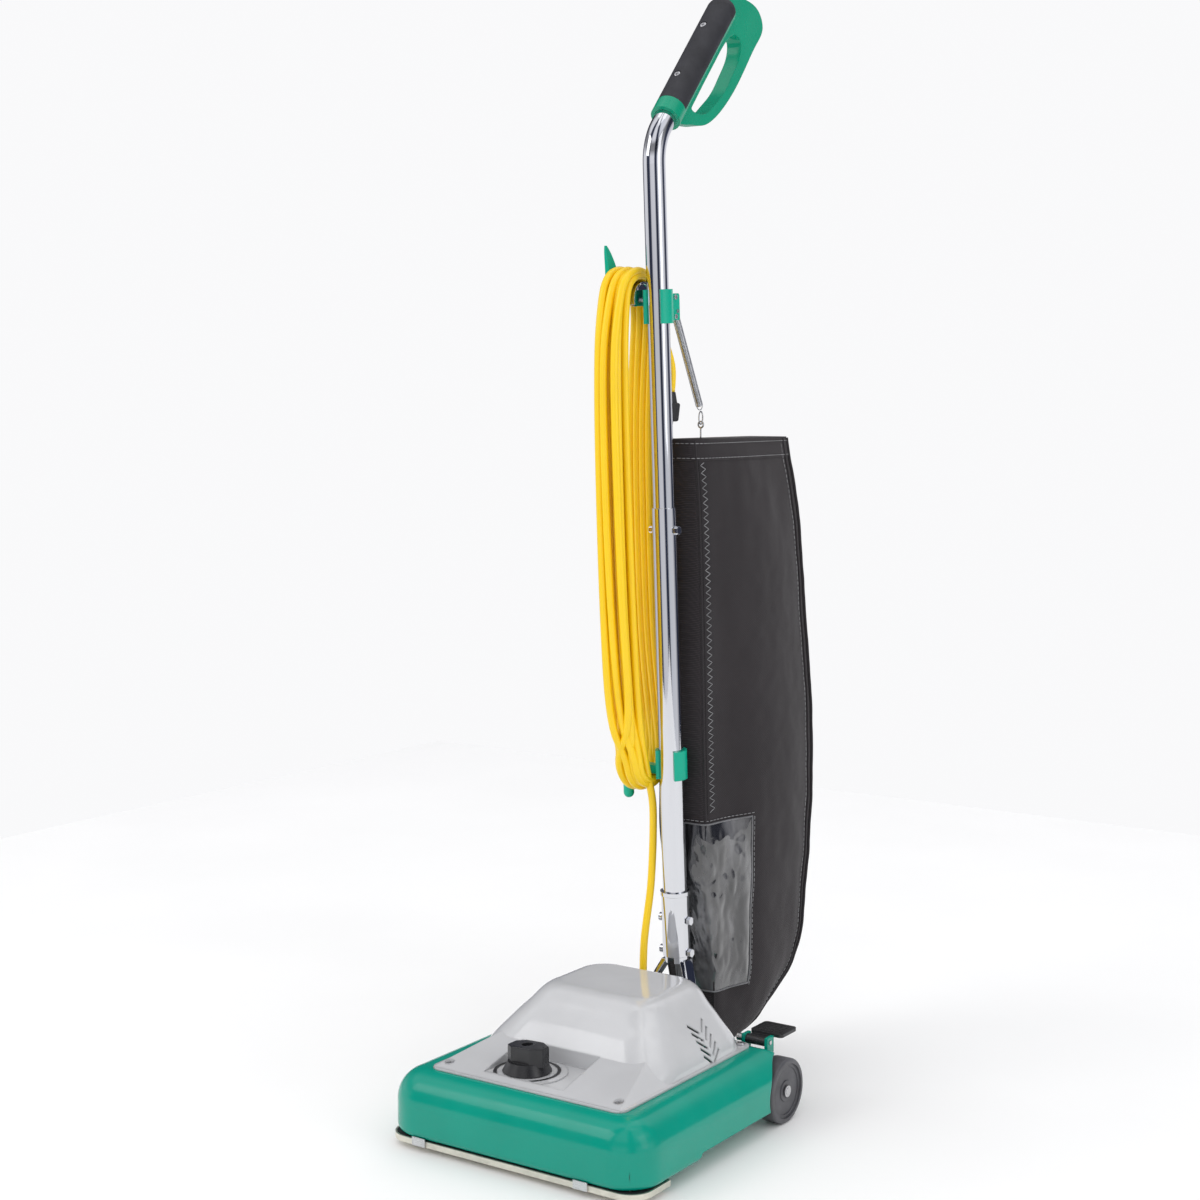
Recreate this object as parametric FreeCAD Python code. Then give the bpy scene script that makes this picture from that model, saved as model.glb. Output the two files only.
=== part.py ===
# Commercial upright vacuum cleaner: pot-style base with a hinged handle, cloth bag and cord hooks.
# Millimetres. +Z up, -Y is the front of the machine, +X is its left-hand side seen from behind.
# Origin: on the floor, under the middle of the base.
import FreeCAD, Part
import math
import os
from FreeCAD import Vector as V

# ---- driving dimensions -------------------------------------------------------------------
BASE_HALF_W = 169.0        # base housing, half of its width over the bumper
BASE_FRONT = -172.0
BASE_REAR = 152.0
BASE_TOP = 84.0            # rim that the hood's flange rests on
BUMPER_R = 34.0            # rounded top edge of the bumper
FLOOR_FRONT = 14.0         # underside of the nozzle part
REAR_WALL_TOP = 62.0
FLOOR_REAR = 24.0          # underside of the part behind the nozzle
WALL = 3.0

BRUSH_Y, BRUSH_Z = -137.0, 31.0
BRUSH_CORE_R = 17.0
BRISTLE_R = 21.5
BRUSH_HALF_L = 146.0
CHAMBER_R = 27.0
SOLE_HALF_W = 166.0

WHEEL_R, WHEEL_W, WHEEL_Y = 37.0, 22.0, 134.0
WHEEL_OUT = 168.0          # outer face of a rear wheel
AXLE_R = 4.0

MOTOR_X, MOTOR_Z = 23.0, 72.0
MOTOR_R = 38.0
SHAFT_R = 4.0
PULLEY_R = 6.0
PULLEY_Y = -66.0
DUCT_Z = 52.0              # middle of the exhaust collar behind the base
FAN_R = 44.0

HOOD_T = 2.5
HOOD_TOP, SHELF_TOP = 158.0, 108.0
# the hood's motor hump, level by level: height, half width, front, rear, corner radius
HUMP = [(BASE_TOP, 124.0, -74.0, 125.0, 40.0), (93.0, 122.5, -69.0, 124.5, 41.0),
        (102.0, 118.5, -62.0, 122.5, 42.0), (111.0, 112.0, -54.0, 119.5, 41.0),
        (128.0, 98.5, -38.0, 114.5, 38.0), (144.0, 85.5, -21.5, 110.0, 34.0),
        (152.0, 78.0, -13.0, 107.0, 31.0), (156.5, 70.0, -5.0, 102.0, 28.0),
        (HOOD_TOP, 60.0, 5.0, 95.0, 24.0)]
FLANGE_HALF_W, FLANGE_FRONT, FLANGE_REAR = 127.0, -141.0, 126.0

KNOB_X, KNOB_Y = -24.0, -100.0
RECESS_Z = 88.5            # flat of the height dial, set into the hood's front shelf
CAM_LOW = 34.0             # where the carriage's pad meets the cam
CAM_CLEAR = 0.6
CAM_R = 9.0
ROLLER_R, ROLLER_Y = 10.0, -88.0
PEDAL_Y, PEDAL_Z = 142.0, 86.0
SWITCH_X = -105.0
SPRING_R = 4.6             # bag spring

PIVOT_Y, PIVOT_Z = 140.0, 80.0
LEAN = 3.38                # the parked handle leans forward by this many degrees
TUBE_OFFSET = 29.5         # tube axis behind the pivot, before leaning
LOWER_TUBE_R, UPPER_TUBE_R = 14.3, 12.7
LOWER_TUBE_BORE = 12.78
SLEEVE_R = 16.5
SLEEVE_Z0, SLEEVE_Z1 = 152.0, 238.0
JOINT_Z = 690.0            # top of the lower tube
BEND_Z, BEND_R = 1074.0, 60.0

UPPER_HOOK_Z, LOWER_HOOK_Z = 917.0, 390.0
SADDLE_R = 20.0
HORN_X = -59.0
FINGER_X = -61.5

CORD_D = 9.0
HANK_X0, HANK_X1 = -54.5, -19.5

TUBE_Y = PIVOT_Y + TUBE_OFFSET
CENTRE_Y = 126.595         # shift that puts the finished machine over the origin
OUT = "parts"


# ---- small helpers ------------------------------------------------------------------------
def box(x0, x1, y0, y1, z0, z1):
    return Part.makeBox(x1 - x0, y1 - y0, z1 - z0, V(x0, y0, z0))


def rod(start, axis, radius, length):
    return Part.makeCylinder(radius, length, V(*start), V(*axis))


def ring(start, axis, outer, inner, length):
    body = rod(start, axis, outer, length)
    return body.cut(rod(start, axis, inner, length))


def fuse(shapes):
    whole = shapes[0]
    for extra in shapes[1:]:
        whole = whole.fuse(extra)
    return whole.removeSplitter()


def mirror_x(shape):
    return shape.mirror(V(0, 0, 0), V(1, 0, 0))


def prism(points, direction):
    """Straight-sided outline, closed and pushed along direction."""
    loop = Part.makePolygon([V(*p) for p in points + points[:1]])
    return Part.Face(loop).extrude(V(*direction))


def smooth_prism(points, direction):
    """Closed smooth outline through the points, pushed along direction."""
    curve = Part.BSplineCurve()
    curve.interpolate(Points=[V(*p) for p in points], PeriodicFlag=True)
    return Part.Face(Part.Wire(curve.toShape())).extrude(V(*direction))


def loft(wires):
    return Part.makeLoft(wires, True, False)


def rounded_rect(cx, cy, z, half_x, half_y, radius):
    """Horizontal rounded rectangle wire."""
    solid = box(cx - half_x, cx + half_x, cy - half_y, cy + half_y, z, z + 1)
    upright = [e for e in solid.Edges if abs(e.tangentAt(e.FirstParameter).z) > 0.9]
    solid = solid.makeFillet(radius, upright)
    low = min(solid.Faces, key=lambda f: f.CenterOfMass.z)
    return low.OuterWire


def fillet_where(shape, radius, test):
    edges = [e for e in shape.Edges if test(e)]
    return shape.makeFillet(radius, edges) if edges else shape


def centre(edge):
    return edge.valueAt((edge.FirstParameter + edge.LastParameter) / 2)


def lean(shape):
    """Turn a handle part, drawn upright, into its parked position."""
    turned = shape.copy()
    turned.rotate(V(0, PIVOT_Y, PIVOT_Z), V(1, 0, 0), LEAN)
    return turned


def hex_nut(start, axis, across, length):
    nut = Part.Face(Part.makePolygon([
        V(across / math.sqrt(3) * math.cos(i * math.pi / 3),
          across / math.sqrt(3) * math.sin(i * math.pi / 3), 0) for i in range(7)]))
    nut = nut.extrude(V(0, 0, length))
    nut.Placement = FreeCAD.Placement(V(*start), FreeCAD.Rotation(V(0, 0, 1), V(*axis)))
    return nut


def screw(head_at, axis, head_r, shank_r, length):
    """Pan-head screw with a cross recess; axis points from the head into the work."""
    ax = V(*axis)
    head = rod(head_at, axis, head_r, head_r * 0.55)
    try:
        head = fillet_where(head, head_r * 0.3,
                            lambda e: (centre(e) - V(*head_at)).dot(ax) < 0.01 and e.Closed)
    except Part.OCCError:
        pass
    shank = rod((V(*head_at) + ax * head_r * 0.4), axis, shank_r, length)
    slot = Part.makeBox(head_r * 1.1, head_r * 0.25, head_r * 0.3,
                        V(-head_r * 0.55, -head_r * 0.125, 0))
    cross = slot.fuse(slot.rotated(V(0, 0, 0), V(0, 0, 1), 90))
    cross.Placement = FreeCAD.Placement(V(*head_at), FreeCAD.Rotation(V(0, 0, 1), ax))
    return head.fuse(shank).cut(cross)


NODES = {}


def save(name, shape):
    shape.translate(V(0, -CENTRE_Y, 0))
    NODES[name] = shape
    if not shape.isValid():
        print("not valid:", name)
    shape.exportStep(os.path.join(OUT, name + ".step"))


# ---- base ---------------------------------------------------------------------------------
def base_housing():
    """Bumper casting: rounded outer block, open on top, with the brush chamber at the front."""
    outer = box(-BASE_HALF_W, BASE_HALF_W, BASE_FRONT, BASE_REAR, FLOOR_FRONT, BASE_TOP)
    outer = fillet_where(outer, 42, lambda e: abs(e.tangentAt(0).z) > 0.9 and centre(e).y < 0)
    outer = fillet_where(outer, 12, lambda e: abs(e.tangentAt(0).z) > 0.9 and centre(e).y > 0
                         and e.Length > 60)
    outer = fillet_where(outer, BUMPER_R, lambda e: centre(e).z > BASE_TOP - 0.01
                         and centre(e).y < BASE_REAR - 1)
    outer = fillet_where(outer, 9, lambda e: centre(e).z < FLOOR_FRONT + 0.01)
    step = box(-200, 200, -50, 200, 0, FLOOR_REAR)
    step = step.fuse(prism([(-200, -50, FLOOR_REAR), (-200, -50, 0), (-200, -62, 0)], (400, 0, 0)))
    shell = outer.cut(step)
    shell = shell.cut(box(-120, 120, -105, BASE_REAR - WALL, FLOOR_REAR + WALL, 100))
    shell = shell.cut(box(-120, 120, -134, -104, BRUSH_Z + CHAMBER_R + 2, 100))
    # recessed floor where the height carriage sits under the base
    shell = shell.cut(box(-104, 104, -108, -49, 0, FLOOR_REAR))
    shell = shell.cut(box(-142, 142, BASE_REAR - 18, BASE_REAR + 1, REAR_WALL_TOP, 100))
    # brush chamber, its mouth and the throat that leads to the fan
    shell = shell.cut(rod((-152, BRUSH_Y, BRUSH_Z), (1, 0, 0), CHAMBER_R, 304))
    shell = shell.cut(box(-152, 152, BRUSH_Y - 22, BRUSH_Y + 22, 0, BRUSH_Z))
    shell = shell.cut(box(MOTOR_X - 19, MOTOR_X + 19, -114, -100, FLOOR_REAR + WALL + 3, 56))
    shell = shell.cut(box(MOTOR_X - 9, MOTOR_X + 9, -128, -104, 48, 63))
    shell = shell.cut(rod((KNOB_X, KNOB_Y, 0), (0, 0, 1), CAM_R + 0.8, 63))
    shell = shell.cut(rod((0, 140, DUCT_Z), (0, 1, 0), 16.9, 20))
    for side in (-1, 1):
        x0, x1 = sorted((side * 142, side * 180))
        shell = shell.cut(rod((x0, WHEEL_Y, WHEEL_R), (1, 0, 0), WHEEL_R + 5, x1 - x0))
        shell = shell.cut(box(x0, x1, WHEEL_Y, 200, 0, WHEEL_R + WHEEL_R + 5))
        shell = shell.cut(rod((side * 90, WHEEL_Y, WHEEL_R), (side, 0, 0), AXLE_R, 100))
        boss = box(*sorted((side * 102, side * 122)), WHEEL_Y - 10, WHEEL_Y + 10, 26, 50)
        shell = shell.fuse(boss.cut(rod((side * 90, WHEEL_Y, WHEEL_R), (side, 0, 0), AXLE_R, 60)))
        lug = handle_lug(side)
        shell = shell.fuse(lug)
    shell = shell.fuse(pedal_bracket())
    for x, y in hood_screw_places():
        foot = FLOOR_REAR + 1 if y > 0 else BRUSH_Z + CHAMBER_R + 1
        post = rod((x, y, foot), (0, 0, 1), 6, BASE_TOP - foot)
        shell = shell.fuse(post).cut(rod((x, y, 60), (0, 0, 1), 1.6, 40))
    for x in (-60, 60):
        ear = box(x - 3, x + 3, -58, -46, 17, FLOOR_REAR + 1)
        shell = shell.fuse(ear.cut(rod((x - 4, -53, 20.5), (1, 0, 0), 2.05, 8)))
    return shell.removeSplitter()


def hood_screw_places():
    return [(-112, -124), (112, -124), (-117, 116), (117, 116)]


def handle_lug(side):
    """Ear that carries one handle pivot pin."""
    x0, x1 = sorted((side * 34, side * 40))
    lug = box(x0, x1, PIVOT_Y - 11, PIVOT_Y + 9, FLOOR_REAR + 1, PIVOT_Z)
    lug = lug.fuse(rod((x0, PIVOT_Y, PIVOT_Z), (1, 0, 0), 11, 6))
    return lug.cut(rod((x0 - 1, PIVOT_Y, PIVOT_Z), (1, 0, 0), 5.0, 8))


def pedal_bracket():
    """Two ears behind the right-hand rim that carry the release pedal's pin."""
    ears = [box(x, x + 4, 136, 150.5, 52, 92) for x in (106, 136)]
    drilled = [ear.cut(rod((100, PEDAL_Y, PEDAL_Z), (1, 0, 0), 2.5, 50)) for ear in ears]
    return fuse(drilled)


def sole_plate():
    """Pressed steel bottom plate with the nozzle mouth and its cross bars."""
    pan = box(-SOLE_HALF_W, SOLE_HALF_W, -170, -108.5, 7, 13.5)
    pan = fillet_where(pan, 26, lambda e: abs(e.tangentAt(0).z) > 0.9 and centre(e).y < -150)
    inside = box(2 - SOLE_HALF_W, SOLE_HALF_W - 2, -168, -100, 9, 20)
    inside = fillet_where(inside, 24, lambda e: abs(e.tangentAt(0).z) > 0.9 and centre(e).y < -150)
    plate = pan.cut(inside)
    mouths = [box(-140 + i * 56.4, -140 + i * 56.4 + 54.4, BRUSH_Y - 17, BRUSH_Y + 17, 0, 20)
              for i in range(5)]
    for mouth in mouths:
        plate = plate.cut(mouth)
    return plate.removeSplitter()


def nozzle_gasket():
    """Black rubber strip between the sole plate and the base."""
    pad = box(2.5 - SOLE_HALF_W, SOLE_HALF_W - 2.5, -167.5, -108.5, 9, 13.8)
    pad = fillet_where(pad, 23.5, lambda e: abs(e.tangentAt(0).z) > 0.9 and centre(e).y < -150)
    return pad.cut(box(-150, 150, BRUSH_Y - 21, BRUSH_Y + 21, 0, 30))


def sole_clips():
    """Spring latches along the front edge that hold the sole plate on."""
    clips = []
    for x in (-118, 96):
        plate = box(x - 9, x + 9, -172.6, -170.2, 7.4, 17)
        clips.append(fillet_where(plate, 0.8, lambda e: centre(e).y < -172.5))
    return Part.makeCompound(clips)


def hood_block(inset, drop):
    """Solid under the hood's skin: front shelf and rounded motor hump over one flange outline."""
    fx, ff = FLANGE_HALF_W - 3 - inset, FLANGE_FRONT + 3 + inset
    low = BASE_TOP - drop
    wires = []
    for z, half_w, front, rear, corner in HUMP:
        level = low if z == BASE_TOP else z - inset
        depth = (rear - front) / 2 - inset
        wires.append(rounded_rect(0, (front + rear) / 2, level, half_w - inset, depth, corner - inset))
    hump = Part.makeLoft(wires, True, False)
    shelf = prism([(-fx, ff, low), (-fx, ff, 87 - inset), (-fx, -50, SHELF_TOP - inset),
                   (-fx, -30, low)], (2 * fx, 0, 0))
    sides = prism([(-fx, 0, low), (-fx, 0, 86 - inset), (-fx + 30, 0, 110 - inset),
                   (fx - 30, 0, 110 - inset), (fx, 0, 86 - inset), (fx, 0, low)], (0, -200, 0))
    return hump.fuse(shelf.common(sides)).removeSplitter()


def hood():
    """Moulded hood: thin shell with a flange, a flat dial recess and chevron side vents."""
    skin = hood_block(0, 0)
    hollow = hood_block(HOOD_T, 1)
    shell = skin.cut(hollow)
    flange = box(-FLANGE_HALF_W, FLANGE_HALF_W, FLANGE_FRONT, FLANGE_REAR, BASE_TOP, BASE_TOP + 2.5)
    flange = fillet_where(flange, 12, lambda e: abs(e.tangentAt(0).z) > 0.9)
    shell = shell.fuse(flange.cut(hollow))
    for x, y in hood_screw_places():
        shell = shell.fuse(rod((x, y, BASE_TOP), (0, 0, 1), 8, 12).common(skin))
    # flat recess for the dial
    well = box(-62, 43, -127, -58, RECESS_Z, 140)
    floor = box(-64, 45, -129, -60, RECESS_Z - HOOD_T, RECESS_Z)
    inside = skin.common(box(-64.5, 45.5, -129.5, -56, 80, 140))
    rim = inside.common(box(-64.5, 45.5, -129.5, -56, RECESS_Z - HOOD_T, 140)).cut(well)
    shell = shell.fuse(rim).cut(well).fuse(floor.common(skin))
    shell = shell.cut(rod((KNOB_X, KNOB_Y, 60), (0, 0, 1), 7.5, 60))
    for x, y in hood_screw_places():
        shell = shell.cut(rod((x, y, 60), (0, 0, 1), 2.2, 60))
        shell = shell.cut(rod((x, y, BASE_TOP + 2.5), (0, 0, 1), 5.4, 60))
    for slot in vent_slots():
        shell = shell.cut(slot).cut(mirror_x(slot))
    return shell.removeSplitter()


def vent_slots():
    """Two rows of five slots that meet in a chevron, cut through the hood's side."""
    slots = []
    for i in range(5):
        for way in (-1, 1):
            slot = Part.makeBox(80, 17, 2.6, V(70, -8.5, -1.3))
            slot.rotate(V(0, 0, 0), V(1, 0, 0), way * 38)
            slot.translate(V(0, 45 + way * 9, 122 - i * 7.5))
            slots.append(slot)
    return slots


def hood_screws():
    return Part.makeCompound([screw((x, y, BASE_TOP + 5.2), (0, 0, -1), 4.8, 1.5, 20)
                              for x, y in hood_screw_places()])


def dial_plate():
    """Flat ring printed with the height scale, around the knob."""
    plate = ring((KNOB_X, KNOB_Y, RECESS_Z), (0, 0, 1), 45, 8, 1.2)
    ridge = ring((KNOB_X, KNOB_Y, RECESS_Z + 1.2), (0, 0, 1), 37, 33, 0.5)
    recess = box(-61, 42, -126.5, -59, RECESS_Z, RECESS_Z + 5)
    return fuse([plate, ridge]).common(recess)


# ---- motor, fan and air path ---------------------------------------------------------------
def motor_housing():
    can = ring((MOTOR_X, 4, MOTOR_Z), (0, 1, 0), MOTOR_R, MOTOR_R - 2, 84)
    for y in (4, 86):
        plate = rod((MOTOR_X, y, MOTOR_Z), (0, 1, 0), MOTOR_R, 2)
        can = can.fuse(plate.cut(rod((MOTOR_X, y - 1, MOTOR_Z), (0, 1, 0), 9, 4)))
    feet = [box(MOTOR_X + x - 6, MOTOR_X + x + 6, y, y + 8, FLOOR_REAR + WALL, MOTOR_Z - 22)
            for x in (-24, 24) for y in (10, 74)]
    feet = [foot.cut(rod((MOTOR_X, 0, MOTOR_Z), (0, 1, 0), MOTOR_R - 1, 100)) for foot in feet]
    for i in range(8):
        slot = box(-3, 3, 0, 14, MOTOR_R - 6, MOTOR_R + 4)
        slot.rotate(V(0, 0, 0), V(0, 1, 0), -70 + i * 20)
        slot.translate(V(MOTOR_X, 66, MOTOR_Z))
        can = can.cut(slot)
    return fuse([can] + feet)


def motor_bearings():
    return Part.makeCompound([ring((MOTOR_X, y, MOTOR_Z), (0, 1, 0), 9, SHAFT_R + 0.05, 6)
                              for y in (2, 84)])


def motor_stator():
    core = ring((MOTOR_X, 24, MOTOR_Z), (0, 1, 0), MOTOR_R - 2, 22, 40)
    for x in (-1, 1):
        core = core.cut(box(MOTOR_X + x * 29 - 5, MOTOR_X + x * 29 + 5, 20, 70,
                            MOTOR_Z - 12, MOTOR_Z + 12))
    return core


def motor_coils():
    coils = [box(MOTOR_X + x * 29 - 4.5, MOTOR_X + x * 29 + 4.5, 18, 70,
                 MOTOR_Z - 11.5, MOTOR_Z + 11.5) for x in (-1, 1)]
    bore = rod((MOTOR_X, 0, MOTOR_Z), (0, 1, 0), 22, 100)
    can = rod((MOTOR_X, 0, MOTOR_Z), (0, 1, 0), MOTOR_R - 2.2, 100)
    return Part.makeCompound([coil.cut(bore).common(can) for coil in coils])


def motor_shaft():
    shaft = rod((MOTOR_X, PULLEY_Y - 8, MOTOR_Z), (0, 1, 0), SHAFT_R, 96 - PULLEY_Y)
    pulley = rod((MOTOR_X, PULLEY_Y - 3, MOTOR_Z), (0, 1, 0), PULLEY_R, 10)
    rim = rod((MOTOR_X, PULLEY_Y + 7, MOTOR_Z), (0, 1, 0), PULLEY_R + 2, 2)
    return fuse([shaft, pulley, rim])


def armature():
    core = ring((MOTOR_X, 24, MOTOR_Z), (0, 1, 0), 21.3, SHAFT_R, 40)
    for i in range(12):
        slot = box(-1.2, 1.2, 20, 68, 15, 23)
        slot.rotate(V(0, 0, 0), V(0, 1, 0), i * 30)
        slot.translate(V(MOTOR_X, 0, MOTOR_Z))
        core = core.cut(slot)
    return core


def commutator():
    return ring((MOTOR_X, 68, MOTOR_Z), (0, 1, 0), 11, SHAFT_R, 12)


def fan_impeller():
    disc = ring((MOTOR_X, -9, MOTOR_Z), (0, 1, 0), FAN_R - 4.5, SHAFT_R, 2)
    hub = ring((MOTOR_X, -20, MOTOR_Z), (0, 1, 0), 9, SHAFT_R, 11)
    blades = []
    for i in range(6):
        blade = box(-1, 1, -20, -8.5, 8, FAN_R - 5.5)
        blade.rotate(V(0, 0, 8), V(0, 1, 0), 25)
        blade.rotate(V(0, 0, 0), V(0, 1, 0), i * 60)
        blade.translate(V(MOTOR_X, 0, MOTOR_Z))
        blades.append(blade)
    swept = rod((MOTOR_X, -30, MOTOR_Z), (0, 1, 0), FAN_R - 4, 40)
    return fuse([disc, hub] + blades).common(swept)


def fan_housing():
    """Round chamber around the fan with its outlet socket on the machine's right."""
    case = rod((MOTOR_X, -27, MOTOR_Z), (0, 1, 0), FAN_R, 28)
    outlet = box(-64, MOTOR_X, -26, 0, FLOOR_REAR + WALL + 1, 61)
    case = case.fuse(outlet)
    case = case.cut(rod((MOTOR_X, -24.5, MOTOR_Z), (0, 1, 0), FAN_R - 3, 23))
    case = case.cut(box(-61, MOTOR_X - 20, -23.5, 10, FLOOR_REAR + WALL + 4, 58)
                    .cut(box(-45, 100, -3, 20, 0, 100)))
    case = case.cut(rod((MOTOR_X, -30, MOTOR_Z), (0, 1, 0), 24, 10))
    return case.cut(rod((MOTOR_X, -5, MOTOR_Z), (0, 1, 0), SHAFT_R + 1, 10))


def inlet_duct():
    """Throat from the brush chamber to the eye of the fan; the belt runs inside it."""
    x0, x1 = MOTOR_X - 25, MOTOR_X + 25
    outer = prism([(x0, -103.8, 29), (x0, -27.2, 29), (x0, -27.2, 99), (x0, -56, 85),
                   (x0, -103.8, 85)], (x1 - x0, 0, 0))
    inner = prism([(x0 + 2, -110, 34), (x0 + 2, -20, 34), (x0 + 2, -20, 100),
                   (x0 + 2, -57, 83), (x0 + 2, -102, 83), (x0 + 2, -102, 70),
                   (x0 + 2, -110, 70)], (x1 - x0 - 4, 0, 0))
    return outer.cut(inner)


def drive_belt():
    """Round belt with a quarter twist: from the motor pulley, axis Y, to the brush, axis X."""
    r = 2.0
    high = MOTOR_Z + PULLEY_R + r + 0.4
    side = PULLEY_R + r + 0.4
    path_left = [(MOTOR_X - side, PULLEY_Y, MOTOR_Z), (MOTOR_X, BRUSH_Y - 4, BRUSH_Z + 16.5)]
    path_right = [(MOTOR_X + side, PULLEY_Y, MOTOR_Z), (MOTOR_X, BRUSH_Y + 14.5, BRUSH_Z - 8.9)]
    wrap_top = Part.Arc(V(*path_left[0]), V(MOTOR_X, PULLEY_Y, high), V(*path_right[0]))
    wrap_low = Part.Arc(V(*path_left[1]), V(MOTOR_X, BRUSH_Y - 13.6, BRUSH_Z - 10.2),
                        V(*path_right[1]))
    parts = []
    for line in (Part.LineSegment(V(*path_left[0]), V(*path_left[1])),
                 Part.LineSegment(V(*path_right[0]), V(*path_right[1])), wrap_top, wrap_low):
        wire = Part.Wire([line.toShape()])
        edge = wire.Edges[0]
        start = edge.valueAt(edge.FirstParameter)
        disc = Part.Wire([Part.Circle(start, edge.tangentAt(edge.FirstParameter), r).toShape()])
        parts.append(wire.makePipeShell([disc], True, False))
    joints = [Part.makeSphere(r, V(*p)) for p in path_left + path_right]
    return fuse(parts + joints)


def exhaust_duct():
    """Square duct from the fan outlet along the floor, ending in the round bag collar."""
    z0 = FLOOR_REAR + WALL + 1
    outer = box(-64, -42, 0.2, 118, z0, 61).fuse(box(-64, 20, 96, 118, z0, 71))
    outer = outer.fuse(rod((0, 118, DUCT_Z), (0, 1, 0), 16.5, 62))
    inner = box(-61, -45, -1, 115, z0 + 3, 58).fuse(box(-61, 17, 99, 115, z0 + 3, 68))
    inner = inner.fuse(rod((0, 110, DUCT_Z), (0, 1, 0), 14.0, 80))
    collar = ring((0, 176, DUCT_Z), (0, 1, 0), 18.5, 14.0, 4)
    return outer.cut(inner).fuse(collar)


# ---- running gear --------------------------------------------------------------------------
def rear_axles():
    pins = []
    for side in (-1, 1):
        pin = rod((side * 101, WHEEL_Y, WHEEL_R), (side, 0, 0), AXLE_R, WHEEL_OUT + 1 - 101)
        head = rod((side * 97, WHEEL_Y, WHEEL_R), (side, 0, 0), 7, 4)
        pins.append(pin.fuse(head))
    return Part.makeCompound(pins)


def axle_rings():
    return Part.makeCompound([ring((side * (WHEEL_OUT - 1.2), WHEEL_Y, WHEEL_R), (side, 0, 0),
                                   6.5, AXLE_R, 1.6) for side in (-1, 1)])


def wheel_core(side):
    x0 = side * (WHEEL_OUT - WHEEL_W)
    hub = ring((x0, WHEEL_Y, WHEEL_R), (side, 0, 0), 12, AXLE_R + 0.08, WHEEL_W - 2)
    web = ring((x0 + side * 8, WHEEL_Y, WHEEL_R), (side, 0, 0), WHEEL_R - 6, 11, 11)
    rim = ring((x0 + side * 2, WHEEL_Y, WHEEL_R), (side, 0, 0), WHEEL_R - 6, WHEEL_R - 10, 18)
    core = fuse([hub, web, rim])
    return core.cut(rod((side * (WHEEL_OUT - 2.2), WHEEL_Y, WHEEL_R), (side, 0, 0), 7.5, 5))


def wheel_tyre(side):
    x0 = side * (WHEEL_OUT - WHEEL_W)
    tyre = ring((x0, WHEEL_Y, WHEEL_R), (side, 0, 0), WHEEL_R, WHEEL_R - 6, WHEEL_W)
    return fillet_where(tyre, 3, lambda e: abs(e.Length - 2 * math.pi * WHEEL_R) < 0.5)


def carriage():
    """Steel plate under the nozzle that carries the front axle and tips about its rear pin."""
    plate = box(-96, 96, -106, -60, 17.2, 19.2)
    tongue = [box(x - 3, x + 3, -62, -49, 17.2, 23) for x in (-66.5, 66.5, -53.5, 53.5)]
    ears = [box(x - 1.5, x + 1.5, ROLLER_Y - 8, ROLLER_Y + 8, ROLLER_R - 4.6, 18)
            for x in (-94, -48, 48, 94)]
    slots = [box(x - 16, x + 16, -108, -71, 0, 30) for x in (-71, 71)]
    body = fuse([plate] + tongue + ears)
    for slot in slots:
        body = body.cut(slot)
    pad = rod((KNOB_X, KNOB_Y + 5, 18), (0, 0, 1), 3, CAM_LOW - 18)
    body = body.fuse(pad)
    body = body.cut(rod((-100, -53, 20.5), (1, 0, 0), 2.05, 200))
    return body.cut(rod((-100, ROLLER_Y, ROLLER_R), (1, 0, 0), 2.5, 200))



def carriage_pins():
    return Part.makeCompound([rod((x - 10, -53, 20.5), (1, 0, 0), 2.0, 20) for x in (-60, 60)])


def front_axle():
    return rod((-99, ROLLER_Y, ROLLER_R), (1, 0, 0), 2.42, 198)


def front_wheel(side):
    wheel = ring((side * 60, ROLLER_Y, ROLLER_R), (side, 0, 0), ROLLER_R, 2.42, 22)
    return fillet_where(wheel, 2, lambda e: abs(e.Length - 2 * math.pi * ROLLER_R) < 0.5)


# ---- height control ------------------------------------------------------------------------
def height_knob():
    """Flared skirt with a faceted wedge grip and a round hole in its top."""
    z0 = RECESS_Z + 2.4
    skirt = Part.makeCone(27, 21, 11, V(KNOB_X, KNOB_Y, z0))
    skirt = skirt.fuse(rod((KNOB_X, KNOB_Y, z0 - 0.4), (0, 0, 1), 27, 0.6))
    grip = prism([(KNOB_X - 21, KNOB_Y - 7, z0 + 8), (KNOB_X - 11, KNOB_Y - 15, z0 + 8),
                  (KNOB_X + 13, KNOB_Y - 14, z0 + 8), (KNOB_X + 25, KNOB_Y - 6, z0 + 8),
                  (KNOB_X + 25, KNOB_Y + 6, z0 + 8), (KNOB_X + 13, KNOB_Y + 14, z0 + 8),
                  (KNOB_X - 11, KNOB_Y + 15, z0 + 8), (KNOB_X - 21, KNOB_Y + 7, z0 + 8)],
                 (0, 0, 21))
    ramp = prism([(KNOB_X - 40, KNOB_Y - 30, z0 + 26), (KNOB_X + 40, KNOB_Y - 30, z0 + 31),
                  (KNOB_X + 40, KNOB_Y - 30, z0 + 60), (KNOB_X - 40, KNOB_Y - 30, z0 + 60)],
                 (0, 60, 0))
    body = skirt.fuse(grip.cut(ramp)).removeSplitter()
    body = fillet_where(body, 1.5, lambda e: centre(e).z > z0 + 20)
    body = body.cut(rod((KNOB_X, KNOB_Y, z0 + 12), (0, 0, 1), 6.5, 30))
    return body.cut(rod((KNOB_X, KNOB_Y, z0 - 2), (0, 0, 1), 3.2, 30))


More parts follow.
